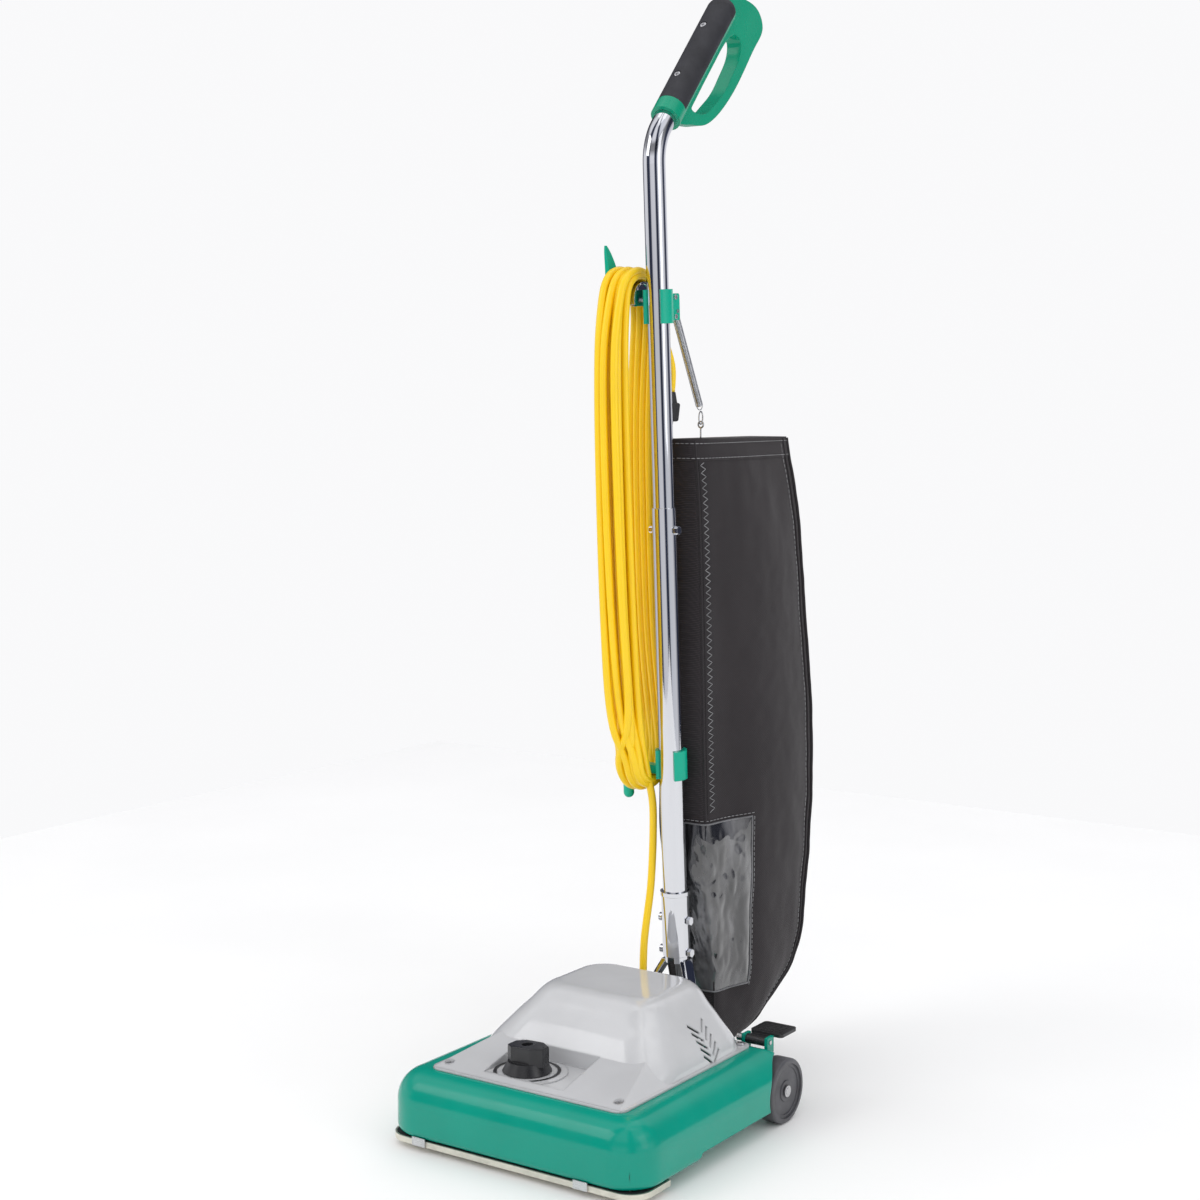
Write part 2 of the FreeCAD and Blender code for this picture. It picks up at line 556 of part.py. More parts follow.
def knob_shaft():
    """Shaft from the knob down through the hood to the sloping cam on the carriage."""
    shaft = rod((KNOB_X, KNOB_Y, CAM_LOW + 8), (0, 0, 1), 6.9, RECESS_Z + 2.0 - CAM_LOW - 8)
    spigot = rod((KNOB_X, KNOB_Y, RECESS_Z), (0, 0, 1), 3.2, 14)
    cam = rod((KNOB_X, KNOB_Y, CAM_LOW - 2), (0, 0, 1), CAM_R, 14)
    slope = prism([(KNOB_X - 20, KNOB_Y + 11, CAM_LOW + CAM_CLEAR - 1.3),
                   (KNOB_X - 20, KNOB_Y - 11, CAM_LOW + CAM_CLEAR + 6.7),
                   (KNOB_X - 20, KNOB_Y - 30, CAM_LOW - 20), (KNOB_X - 20, KNOB_Y + 11, CAM_LOW - 20)],
                  (40, 0, 0))
    slope = slope.common(box(-100, 50, -140, KNOB_Y + 12, 0, 60))
    body = fuse([shaft, spigot, cam.cut(slope)])
    return body.cut(rod((KNOB_X, KNOB_Y, RECESS_Z + 4), (0, 0, 1), 1.5, 20))


def knob_screw():
    return screw((KNOB_X, KNOB_Y, RECESS_Z + 14.4 + 2.8), (0, 0, -1), 5, 1.45, 8)


# ---- brush ---------------------------------------------------------------------------------
def brush_core():
    body = rod((-BRUSH_HALF_L + 4, BRUSH_Y, BRUSH_Z), (1, 0, 0), BRUSH_CORE_R, 2 * BRUSH_HALF_L - 8)
    groove = ring((MOTOR_X - 5, BRUSH_Y, BRUSH_Z), (1, 0, 0), 30, 14.6, 10)
    shaft = rod((-BRUSH_HALF_L - 3, BRUSH_Y, BRUSH_Z), (1, 0, 0), 4, 2 * BRUSH_HALF_L + 6)
    return body.cut(groove).fuse(shaft).removeSplitter()


def brush_bristles():
    """Two helical rows of tufts set into the wooden core."""
    tufts = []
    count, reach = 22, BRISTLE_R
    for row in (0, 180):
        for i in range(count):
            x = -132 + i * 264.0 / (count - 1)
            if abs(x - MOTOR_X) < 11:
                continue
            angle = math.radians(row + 200.0 * i / (count - 1))
            way = (0, math.cos(angle), math.sin(angle))
            start = (x, BRUSH_Y + way[1] * (BRUSH_CORE_R - 0.2), BRUSH_Z + way[2] * (BRUSH_CORE_R - 0.2))
            tufts.append(rod(start, way, 2.2, reach - BRUSH_CORE_R + 0.2))
    return Part.makeCompound(tufts)


def brush_bearings():
    """Square end blocks that drop into the chamber's ends and hold the brush."""
    blocks = []
    for side in (-1, 1):
        x0, x1 = sorted((side * (BRUSH_HALF_L - 2.5), side * 151.5))
        block = rod((x0, BRUSH_Y, BRUSH_Z), (1, 0, 0), CHAMBER_R - 0.2, x1 - x0)
        block = block.cut(box(-200, 200, -300, 0, 0, 14))
        blocks.append(block.cut(rod((x0 - 1, BRUSH_Y, BRUSH_Z), (1, 0, 0), 4.06, x1 - x0 + 2)))
    return Part.makeCompound(blocks)


# ---- handle, drawn upright and leaned forward when saved ------------------------------------
def bail():
    """Fork that straddles the two lugs and rises to the socket of the handle tube."""
    arms = []
    for side in (-1, 1):
        foot = rounded_rect(side * 43.5, PIVOT_Y, PIVOT_Z + 13, 2.5, 9, 1)
        top = rounded_rect(side * 12.5, TUBE_Y, SLEEVE_Z0 + 3, 3.5, 9, 1)
        arm = Part.makeLoft([foot, top], True, True)
        x0, x1 = sorted((side * 41, side * 46))
        strap = box(x0, x1, PIVOT_Y - 9, PIVOT_Y + 9, PIVOT_Z, PIVOT_Z + 13)
        eye = rod((side * 41, PIVOT_Y, PIVOT_Z), (side, 0, 0), 11, 5)
        arms.append(arm.fuse(strap).fuse(eye))
    cup = rod((0, TUBE_Y, SLEEVE_Z0), (0, 0, 1), LOWER_TUBE_R - 0.05, 26)
    body = fuse(arms + [cup])
    body = body.cut(rod((-60, PIVOT_Y, PIVOT_Z), (1, 0, 0), 5.06, 120))
    body = body.cut(rod((-20, TUBE_Y, SLEEVE_Z0 + 12), (1, 0, 0), 2.6, 40))
    return body.cut(box(-4.5, 4.5, TUBE_Y - 20, TUBE_Y + 20, SLEEVE_Z0 - 10, SLEEVE_Z0 + 7))


def pivot_pins():
    """Shouldered pins of the base; the bail turns on them."""
    pins = []
    for side in (-1, 1):
        pin = rod((side * 33.5, PIVOT_Y, PIVOT_Z), (side, 0, 0), 5.0, 15)
        heads = [rod((side * x, PIVOT_Y, PIVOT_Z), (side, 0, 0), 7.5, t)
                 for x, t in ((31.5, 2.2), (47.3, 2))]
        pins.append(fuse([pin] + heads))
    return Part.makeCompound(pins)


def sleeve():
    """Chromed socket, pinched at its foot, that clamps the lower tube."""
    body = ring((0, TUBE_Y, SLEEVE_Z0 + 8), (0, 0, 1), SLEEVE_R, LOWER_TUBE_R + 0.02,
                SLEEVE_Z1 - SLEEVE_Z0 - 8)
    collar = ring((0, TUBE_Y, SLEEVE_Z1 - 5), (0, 0, 1), SLEEVE_R + 1, LOWER_TUBE_R + 0.02, 5)
    body = body.fuse(collar)
    body = body.cut(rod((-30, TUBE_Y, SLEEVE_Z0 + 12), (1, 0, 0), 2.6, 60))
    return body.cut(rod((-30, TUBE_Y, 203), (1, 0, 0), 2.6, 60))


def sleeve_bolts():
    bolts = []
    for z in (SLEEVE_Z0 + 12, 203):
        shank = rod((-SLEEVE_R - 4, TUBE_Y, z), (1, 0, 0), 2.55, 2 * SLEEVE_R + 8)
        head = rod((-SLEEVE_R - 5, TUBE_Y, z), (1, 0, 0), 5, 4.5)
        nut = hex_nut((SLEEVE_R + 0.6, TUBE_Y, z), (1, 0, 0), 9, 4.5)
        bolts.append(fuse([shank, head, nut]))
    return Part.makeCompound(bolts)


def lower_tube():
    tube = ring((0, TUBE_Y, SLEEVE_Z0 + 28), (0, 0, 1), LOWER_TUBE_R, LOWER_TUBE_BORE,
                JOINT_Z - SLEEVE_Z0 - 28)
    tube = fillet_where(tube, 0.6, lambda e: centre(e).z > JOINT_Z - 1
                        and abs(e.Length - 2 * math.pi * LOWER_TUBE_R) < 0.5)
    tube = tube.cut(rod((-30, TUBE_Y, 203), (1, 0, 0), 2.6, 60))
    return tube.cut(rod((-30, TUBE_Y, JOINT_Z - 26), (1, 0, 0), 2.6, 60))


def upper_tube():
    """Straight tube that bends back 45 degrees into the grip."""
    side = BEND_R * (1 - math.cos(math.pi / 4))
    bend_end = V(0, TUBE_Y + side, BEND_Z + BEND_R * math.sin(math.pi / 4))
    mid = V(0, TUBE_Y + BEND_R * (1 - math.cos(math.pi / 8)), BEND_Z + BEND_R * math.sin(math.pi / 8))
    tip = bend_end + V(*direction(1, 0)) * GRIP_TUBE_U
    path = Part.Wire([Part.LineSegment(V(0, TUBE_Y, JOINT_Z - 70), V(0, TUBE_Y, BEND_Z)).toShape(),
                      Part.Arc(V(0, TUBE_Y, BEND_Z), mid, bend_end).toShape(),
                      Part.LineSegment(bend_end, tip).toShape()])
    skins = []
    for radius in (UPPER_TUBE_R, UPPER_TUBE_R - 1.2):
        loop = Part.Wire([Part.Circle(V(0, TUBE_Y, JOINT_Z - 70), V(0, 0, 1), radius).toShape()])
        skins.append(path.makePipeShell([loop], True, False))
    tube = skins[0].cut(skins[1])
    return tube.cut(rod((-30, TUBE_Y, JOINT_Z - 26), (1, 0, 0), 2.6, 60))


def tube_bolt():
    z = JOINT_Z - 26
    shank = rod((-LOWER_TUBE_R - 3, TUBE_Y, z), (1, 0, 0), 2.55, 2 * LOWER_TUBE_R + 8)
    head = rod((-LOWER_TUBE_R - 4.5, TUBE_Y, z), (1, 0, 0), 5, 4.3)
    return fuse([shank, head, hex_nut((LOWER_TUBE_R + 0.4, TUBE_Y, z), (1, 0, 0), 9, 5)])


# The grip is laid out in its own plane: u runs back and up at 45 degrees, v runs forward and up.
GRIP_Y = TUBE_Y + BEND_R * (1 - math.cos(math.pi / 4))
GRIP_Z = BEND_Z + BEND_R * math.sin(math.pi / 4)
GRIP_R = 17.5              # radius of the grip's round front bar
GRIP_START = 12.0
GRIP_CAP_U = 190.0         # where its round end is centred
GRIP_TUBE_U = 50.0         # how far the tube reaches into it
PAD_T = 2.5
SCREW_U = (67.0, 150.0)


def grip_point(u, v, x=0.0):
    s = math.sqrt(0.5)
    return (x, GRIP_Y + (u - v) * s, GRIP_Z + (u + v) * s)


def direction(u, v):
    s = math.sqrt(0.5)
    return (0, (u - v) * s, (u + v) * s)


def grip_bar(u0, u1, radius):
    return rod(grip_point(u0, 0), direction(1, 0), radius, u1 - u0)


def grip_shell():
    """Closed D-shaped handle: round front bar, flatter back bar, joined at both ends."""
    outline = [(14, 6), (60, 6), (120, 6), (180, 8), (207, 6), (236, -22), (246, -48), (240, -64),
               (215, -68), (180, -69), (140, -70), (105, -67), (75, -60), (52, -48), (36, -32),
               (20, -16)]
    hole = [(52, -19.5), (90, -19), (130, -19), (165, -20.5), (185, -30), (188, -40), (178, -50),
            (150, -55), (115, -56), (85, -50), (60, -38)]
    half = 9.5
    plate = smooth_prism([grip_point(u, v, -half) for u, v in outline], (2 * half, 0, 0))
    gap = smooth_prism([grip_point(u, v, -40) for u, v in hole], (80, 0, 0))
    body = plate.fuse(grip_bar(GRIP_START, GRIP_CAP_U, GRIP_R))
    body = body.fuse(Part.makeSphere(GRIP_R, V(*grip_point(GRIP_CAP_U, 0)))).cut(gap)
    body = body.cut(grip_bar(0, GRIP_TUBE_U + 2, UPPER_TUBE_R + 0.02))
    body = body.cut(overlay_block(GRIP_R + 1))
    for u in SCREW_U:
        body = body.cut(rod(grip_point(u, -1), direction(0, 1), 1.5, 20))
    return body.removeSplitter()


def overlay_block(radius):
    """Pad over the front of the bar, PAD_T deep, with a rounded end."""
    under = GRIP_R - PAD_T
    bar = grip_bar(30, GRIP_CAP_U, radius)
    bar = bar.fuse(Part.makeSphere(radius, V(*grip_point(GRIP_CAP_U, 0))))
    bar = bar.cut(grip_bar(20, GRIP_CAP_U, under))
    bar = bar.cut(Part.makeSphere(under, V(*grip_point(GRIP_CAP_U, 0))))
    keep = prism([grip_point(30, -5, -30), grip_point(202, -5, -30),
                  grip_point(202, 40, -30), grip_point(30, 40, -30)], (60, 0, 0))
    return bar.common(keep)


def grip_overlay():
    pad = overlay_block(GRIP_R)
    for u in SCREW_U:
        pad = pad.cut(rod(grip_point(u, 10), direction(0, 1), 4.5, 20))
    return pad


def grip_screws():
    return Part.makeCompound([screw(grip_point(u, GRIP_R - 0.2), direction(0, -1), 4.0, 1.45, 12)
                              for u in SCREW_U])


# ---- cord hooks ----------------------------------------------------------------------------
def tube_clip(z, height, tube_r, boss_reach):
    """Snap-on clip, open to the front, with a boss towards -X."""
    inner, outer = tube_r + 0.02, tube_r + 4.2
    clip = ring((0, TUBE_Y, z - height / 2), (0, 0, 1), outer, inner, height)
    mouth = prism([(0, TUBE_Y, z - height), (-24, TUBE_Y - 26, z - height),
                   (24, TUBE_Y - 26, z - height)], (0, 0, 2 * height))
    boss = box(-tube_r - boss_reach, -tube_r - 0.8, TUBE_Y - 7, TUBE_Y + 8,
               z - height / 2, z + height / 2)
    boss = fillet_where(boss, 2.5, lambda e: abs(e.tangentAt(0).z) > 0.9
                        and centre(e).x < -tube_r - boss_reach + 0.1)
    boss = boss.cut(rod((0, TUBE_Y, z - height), (0, 0, 1), inner, 2 * height))
    return clip.fuse(boss).cut(mouth).removeSplitter()


def upper_clip():
    """Green clip that carries the swivelling cord hook; its rear tab takes the bag spring."""
    z = UPPER_HOOK_Z
    clip = tube_clip(z, 38, UPPER_TUBE_R, 4.2)
    tab = box(-3, 9, TUBE_Y + UPPER_TUBE_R + 2, TUBE_Y + 31, z - 16, z + 14)
    tab = fillet_where(tab, 3, lambda e: abs(e.tangentAt(0).x) > 0.9 and centre(e).y > TUBE_Y + 30)
    clip = clip.fuse(tab).cut(rod((0, TUBE_Y, z - 40), (0, 0, 1), UPPER_TUBE_R + 0.02, 80))
    clip = clip.cut(rod((-20, TUBE_Y + 26, z - 6), (1, 0, 0), 2.0, 40))
    clip = clip.cut(box(2, 6, TUBE_Y + 22, TUBE_Y + 33, z - 17, z))
    for dz in (-12, 10):
        clip = clip.cut(rod((-20, TUBE_Y + 22, z + dz), (1, 0, 0), 1.5, 40))
    pin_hole = rod((-UPPER_TUBE_R - 6, TUBE_Y, z + 8), (1, 0, 0), 3.0, 5)
    return clip.cut(pin_hole)


def clip_screws():
    z = UPPER_HOOK_Z
    return Part.makeCompound([screw((10.6, TUBE_Y + 22, z + dz), (-1, 0, 0), 2.9, 1.45, 10)
                              for dz in (-12, 10)])


def saddle_pin():
    """Fixed pin of the upper clip that the quick-release hook swings on."""
    z = UPPER_HOOK_Z + 8
    pin = rod((-UPPER_TUBE_R - 5.2, TUBE_Y, z), (-1, 0, 0), 2.9, 9.2)
    root = rod((-UPPER_TUBE_R - 1.5, TUBE_Y, z), (-1, 0, 0), 2.99, 3.7)
    return fuse([pin, root, rod((-UPPER_TUBE_R - 12.4, TUBE_Y, z), (-1, 0, 0), 4.4, 2)])


def cord_saddle():
    """Half-round chromed trough that the cord's upper turns lie on."""
    z = UPPER_HOOK_Z + 8
    x0 = -UPPER_TUBE_R - 6
    length = abs(HORN_X) - 2 - abs(x0)
    trough = ring((x0, TUBE_Y, z), (-1, 0, 0), SADDLE_R, SADDLE_R - 2.2, length)
    trough = trough.cut(box(-100, 0, TUBE_Y - 40, TUBE_Y + 40, z - 60, z - 5))
    web = rod((x0 - 2, TUBE_Y, z), (-1, 0, 0), SADDLE_R - 1, 3.5)
    web = web.cut(box(-100, 0, TUBE_Y - 40, TUBE_Y + 40, z - 60, z - 7))
    hub = rod((x0 - 2, TUBE_Y, z), (-1, 0, 0), 7, 3.5)
    body = fuse([trough, web, hub])
    return body.cut(rod((x0 + 3, TUBE_Y, z), (-1, 0, 0), 2.96, 12))


def cord_horn():
    """Curved horn at the outer end of the saddle; keeps the cord from slipping off."""
    z = UPPER_HOOK_Z + 8
    disc = rod((HORN_X + 2, TUBE_Y, z), (-1, 0, 0), SADDLE_R, 4)
    disc = disc.cut(box(-100, 0, TUBE_Y - 40, TUBE_Y + 40, z - 60, z - 9))
    sections = []
    for t in range(6):
        share = t / 5.0
        half_y = 11.0 * (1 - share) ** 0.6 + 1.6
        half_x = 3.6 * (1 - share) + 1.2
        x = HORN_X - 1.6 - 2.2 * share
        y = TUBE_Y + 2 - 11.0 * share ** 2
        sections.append(rounded_rect(x, y, z + 6 + 56 * share, half_x, half_y, 1.0))
    return fuse([disc, loft(sections)])


def lower_clip():
    """Fixed lower hook: clip, short arm and a finger that points down."""
    z = LOWER_HOOK_Z
    clip = tube_clip(z, 34, LOWER_TUBE_R, 4.4)
    arm = box(FINGER_X - 2, -LOWER_TUBE_R - 3, TUBE_Y - 5, TUBE_Y + 7, z - 14, z - 3)
    arm = fillet_where(arm, 4, lambda e: abs(e.tangentAt(0).x) > 0.9 and centre(e).z < z - 13)
    finger = rod((FINGER_X, TUBE_Y + 1, z - 41), (0, 0, 1), 6.3, 36)
    tip = Part.makeSphere(6.3, V(FINGER_X, TUBE_Y + 1, z - 41))
    body = fuse([clip, arm, finger, tip])
    return body.cut(rod((0, TUBE_Y, z - 40), (0, 0, 1), LOWER_TUBE_R + 0.02, 80))


# ---- cord ----------------------------------------------------------------------------------
def cord_hank():
    """Outer shape of the wound cord: a long loop over the saddle and under the lower arm."""
    top = UPPER_HOOK_Z + 8
    low = LOWER_HOOK_Z - 14
    outer = [(0, top + 41), (-26, top + 33), (-49, top - 2), (-62, top - 60), (-66, top - 180),
             (-65, top - 350), (-60, low + 60), (-41, low + 14), (-16, low - 14), (5, low - 22),
             (16, low - 14), (21, low + 30), (21, low + 180), (24, top - 160), (30, top - 30),
             (27, top + 26)]
    inner = [(0, top + 21), (-13.5, top + 16), (-21.5, top), (-29, top - 60), (-31, top - 180),
             (-31, top - 350), (-24, low + 60), (-13, low + 20), (-7, low - 0.8), (2, low - 1.6),
             (9, low + 1), (10.5, low + 25), (4, low + 100), (0, low + 180), (0, top - 160),
             (12, top - 60), (20.6, top - 10), (16, top + 15)]
    places = [[(HANK_X0, TUBE_Y + d, z) for d, z in ring_points] for ring_points in (outer, inner)]
    solid, gap = [smooth_prism(p, (HANK_X1 - HANK_X0, 0, 0)) for p in places]
    return solid.cut(gap)


def route_tube(points, radius):
    """Tube of straight runs joined by tangent arcs, each as large as its two runs allow."""
    knots = [V(*p) for p in points]
    edges, radii = [], []
    here = knots[0]
    for before, corner, after in zip(knots, knots[1:], knots[2:]):
        into, out = corner - before, after - corner
        turn = into.getAngle(out)
        shorter = min(into.Length, out.Length)
        radii.append(0.45 * shorter / math.tan(turn / 2))
        into.normalize()
        out.normalize()
        start, end = corner - into * 0.45 * shorter, corner + out * 0.45 * shorter
        bisector = out - into
        bisector.normalize()
        middle = corner + bisector * (radii[-1] / math.cos(turn / 2) - radii[-1])
        edges.append(Part.LineSegment(here, start).toShape())
        edges.append(Part.Arc(start, middle, end).toShape())
        here = end
    edges.append(Part.LineSegment(here, knots[-1]).toShape())
    path = Part.Wire(edges)
    mouth = Part.Wire([Part.Circle(knots[0], knots[1] - knots[0], radius).toShape()])
    tube = path.makePipeShell([mouth], True, False)
    print("tube length %.1f, radii %s, volume ratio %.4f" % (
        path.Length, [round(r) for r in radii], tube.Volume / (math.pi * radius ** 2 * path.Length)))
    return tube


LEAD_ROUTE = [(-26, 132, 139.2), (-27, 133.5, 172), (-25.5, 138.5, 206), (-24.5, 145.5, 240),
              (-25.5, 150.5, 274), (-26.5, 154.5, 314), (-25, 158, 358)]
TAIL_ROUTE = [(-19.4, 147, 900), (-11.5, 149.5, 882), (-4, 151, 862), (0, 151.5, 842),
              (-2.5, 151.5, 822)]


def strain_relief():
    """Tapered, ribbed rubber sleeve where the lead leaves the back of the base."""
    x, y = LEAD_ROUTE[0][0], LEAD_ROUTE[0][1]
    cone = Part.makeCone(7.6, 5.6, 37.4, V(x, y, 101))
    for i in range(6):
        cone = cone.cut(ring((x, y, 107 + i * 4.8), (0, 0, 1), 12, 6.2 - i * 0.12, 1.8))
    nut = hex_nut((x, y, 96), (0, 0, 1), 14, 5)
    stem = rod((x, y, 88), (0, 0, 1), 6, 8)
    return fuse([cone, nut, stem])


def lead_bracket():
    """Metal tab behind the motor that holds the strain relief."""
    x, y = LEAD_ROUTE[0][0], LEAD_ROUTE[0][1]
    shelf = box(-33, -17.5, 126.5, 141, 94, 96)
    wall = box(-33, -17.5, 126.5, 128.5, FLOOR_REAR + WALL, 96)
    plate = fuse([shelf, wall])
    return plate.cut(rod((x, y, 80), (0, 0, 1), 6.0, 40))


def plug():
    """Straight moulded plug with three pins, hanging behind the tube at the cord's end."""
    tip = V(*TAIL_ROUTE[-1])
    way = tip - V(*TAIL_ROUTE[-2])
    way.normalize()
    neck = Part.makeCone(5.2, 8.5, 12, tip, way)
    body = rod(tip + way * 12, way, 12.0, 21)
    body = fillet_where(body, 2.5, lambda e: e.Closed)
    pins = [rod(tip + way * 32 + V(*off), way, 2.0, 16)
            for off in ((-5, 0, 0), (5, 0, 0), (0, 6, 0))]
    return fuse([neck, body] + pins)


# ---- bag -----------------------------------------------------------------------------------
# Each level: height, front, back, half width at the front, in the middle and at the back.
BAG_LEVELS = [
    (767, 158, 374, 24, 29, 26),
    (700, 163, 388, 27, 40, 31),
    (600, 166, 406, 29, 47, 34),
    (480, 169.5, 420, 30, 51, 36),
    (370, 172.5, 426, 31, 53, 37),
    (270, 178, 425, 32, 53, 37),
    (180, 186, 413, 33, 51, 36),
    (115, 196, 390, 32, 47, 33),
    (72, 199, 352, 29, 39, 27),
    (46, 205, 305, 23, 29, 19),
    (32, 212, 262, 14, 18, 12),
]


def bag_ring(level, inset):
    z, front, back, w_front, w_middle, w_back = level
    front, back = front + inset, back - inset
    depth = back - front
    half = [(0.0, 0.0), (w_front - inset, 0.03), (w_middle - inset, 0.38),
            (w_middle - inset - 1, 0.66), (w_back - inset, 0.965), (0.0, 1.0)]
    right = [(w, front + share * depth) for w, share in half]
    left = [(-w, y) for w, y in reversed(right[1:-1])]
    curve = Part.BSplineCurve()
    curve.interpolate(Points=[V(x, y, z) for x, y in right + left], PeriodicFlag=True)
    return Part.Wire(curve.toShape())


def dust_bag():
    """Cloth bag as a thin shell; its mouth fits over the exhaust collar."""
    thick = 2.5
    outer = loft([bag_ring(level, 0) for level in BAG_LEVELS])
    raised = [(z - (thick if i == 0 else -thick if i == len(BAG_LEVELS) - 1 else 0),) + tuple(rest)
              for i, (z, *rest) in enumerate(BAG_LEVELS)]
    inner = loft([bag_ring(level, thick) for level in raised])
    shell = outer.cut(inner)
    neck = ring((0, 172, DUCT_Z), (0, 1, 0), 21.5, 19.2, 50)
    mouth = rod((0, 160, DUCT_Z), (0, 1, 0), 19.2, 80)
    return shell.fuse(neck.cut(inner)).cut(mouth)


def leaned_point(x, y, z):
    turned = lean(Part.Vertex(x, y, z))
    return turned.Point


def bag_spring():
    """Extension spring from the upper clip to the bag, drawn as its closed coil."""
    top = leaned_point(4, TUBE_Y + 27.2, UPPER_HOOK_Z - 6)
    low = V(4, 206, 799.6)
    way = low - top
    way.normalize()
    length = (low - V(*top)).Length
    coil = ring(top + way * 14, way, SPRING_R, SPRING_R - 1.4, length - 26)
    plugs = [rod(top + way * at, way, SPRING_R - 1.3, 2) for at in (14, length - 14)]
    wires = [rod(top + way * at, way, 0.9, 13) for at in (3, length - 13)]
    return fuse([coil] + plugs + wires)


def torus(centre_at, axis, radius, wire):
    return Part.makeTorus(radius, wire, V(*centre_at), V(*axis))


def bag_ring_link():
    """Wire ring between the spring and the bag hook."""
    return torus((4, 206, 791.8), (1, 0, 0), 6.0, 0.8)


def bag_hook():
    """Small wire hook sewn to the middle of the bag's top edge."""
    eye = torus((4, 206, 784), (0, 1, 0), 3.6, 0.8)
    stem = rod((4, 206, 768), (0, 0, 1), 0.9, 12.6)
    tab = box(-4, 12, 200, 212, 767.05, 768.4)
    return fuse([eye, stem, tab])


def spring_hook():
    """Pin through the clip's tab that the spring's eye turns on."""
    return rod((-3.5, TUBE_Y + 26, UPPER_HOOK_Z - 6), (1, 0, 0), 1.95, 13.5)


def bag_clamp():
    """Sprung steel band around the bag's neck, with two ears to squeeze it open."""
    band = ring((0, 187, DUCT_Z), (0, 1, 0), 23.2, 21.8, 7)
    band = band.cut(box(20.2, 40, 180, 200, DUCT_Z - 2, DUCT_Z + 2))
    ears = []
    for way in (-1, 1):
        ear = box(21.6, 40, 187, 194, DUCT_Z + way * 2.6 - 0.6, DUCT_Z + way * 2.6 + 0.6)
        ears.append(ear)
    return fuse([band] + ears)


# ---- pedal and switch ----------------------------------------------------------------------
def release_pedal():
    """Foot pedal that frees the handle; presses down about its pin."""
    hub = rod((110.4, PEDAL_Y, PEDAL_Z), (1, 0, 0), 5.5, 25.2)
    arm = box(112, 134, PEDAL_Y, PEDAL_Y + 14, PEDAL_Z, PEDAL_Z + 5)
    pad = box(108, 150, 151, 188, PEDAL_Z + 4, PEDAL_Z + 8)
    pad = fillet_where(pad, 5, lambda e: abs(e.tangentAt(0).z) > 0.9)
    body = fuse([hub, arm, pad])
    for i in range(5):
        body = body.cut(box(114, 144, 158 + i * 5.5, 159.6 + i * 5.5, PEDAL_Z + 7.2, PEDAL_Z + 9))
    return body.cut(rod((100, PEDAL_Y, PEDAL_Z), (1, 0, 0), 2.5, 60))


def pedal_pin():
    return rod((97, PEDAL_Y, PEDAL_Z), (1, 0, 0), 2.44, 44)


def pedal_spring():
    """Torsion spring beside the pedal's hub, drawn as its closed coil."""
    return ring((98, PEDAL_Y, PEDAL_Z), (1, 0, 0), 4.4, 2.6, 7)


def switch_box():
    """Open box that stands on the rear wall's rim and holds the foot switch."""
    body = box(SWITCH_X - 13, SWITCH_X + 13, 128, 150.5, REAR_WALL_TOP, 88)
    body = fillet_where(body, 2, lambda e: abs(e.tangentAt(0).z) > 0.9)
    return body.cut(box(SWITCH_X - 9.4, SWITCH_X + 9.4, 130.6, 144.4, 66, 100))


def switch_button():
    button = box(SWITCH_X - 9, SWITCH_X + 9, 131, 144, 74, 94)
    button = fillet_where(button, 2, lambda e: centre(e).z > 93.9)
    return button.cut(box(SWITCH_X - 6, SWITCH_X + 6, 134, 141, 70, 86))


def switch_spring():
    return ring((SWITCH_X, 137.5, 66), (0, 0, 1), 3.2, 2.2, 19.7)


# ---- everything ----------------------------------------------------------------------------
def group(*shapes):
    """Separate solids kept together in one node."""
    return Part.makeCompound([solid for shape in shapes for solid in shape.Solids])


def base_parts():
    return {
        "base_housing": base_housing(), "sole_plate": sole_plate(), "sole_clips": sole_clips(),
        "nozzle_gasket": nozzle_gasket(), "hood": hood(), "hood_screws": hood_screws(),
        "dial_plate": dial_plate(), "motor_housing": motor_housing(),
        "motor_bearings": motor_bearings(),
        "motor_stator": group(motor_stator(), motor_coils()),
        "fan_housing": fan_housing(), "inlet_duct": inlet_duct(),
        "exhaust_duct": exhaust_duct(), "drive_belt": drive_belt(),
        "rear_axles": group(rear_axles(), axle_rings()),
        "hinge_pins": group(pivot_pins(), carriage_pins()),
        "brush_bearings": brush_bearings(), "strain_relief": strain_relief(),
        "lead_bracket": lead_bracket(), "pedal_spring": pedal_spring(),
        "switch_box": switch_box(), "switch_spring": switch_spring(),
    }


def moving_base_parts():
    return {
        "motor_shaft": motor_shaft(), "armature": group(armature(), commutator()),
        "fan_impeller": fan_impeller(), "brush_core": brush_core(),
        "brush_bristles": brush_bristles(), "height_knob": height_knob(),
        "knob_shaft": knob_shaft(), "knob_screw": knob_screw(), "carriage": carriage(),
        "front_axle": front_axle(), "release_pedal": release_pedal(), "pedal_pin": pedal_pin(),
        "switch_button": switch_button(),
        "rear_wheel_left": group(wheel_core(1), wheel_tyre(1)),
        "rear_wheel_right": group(wheel_core(-1), wheel_tyre(-1)),
        "front_wheels": group(front_wheel(1), front_wheel(-1)),
    }


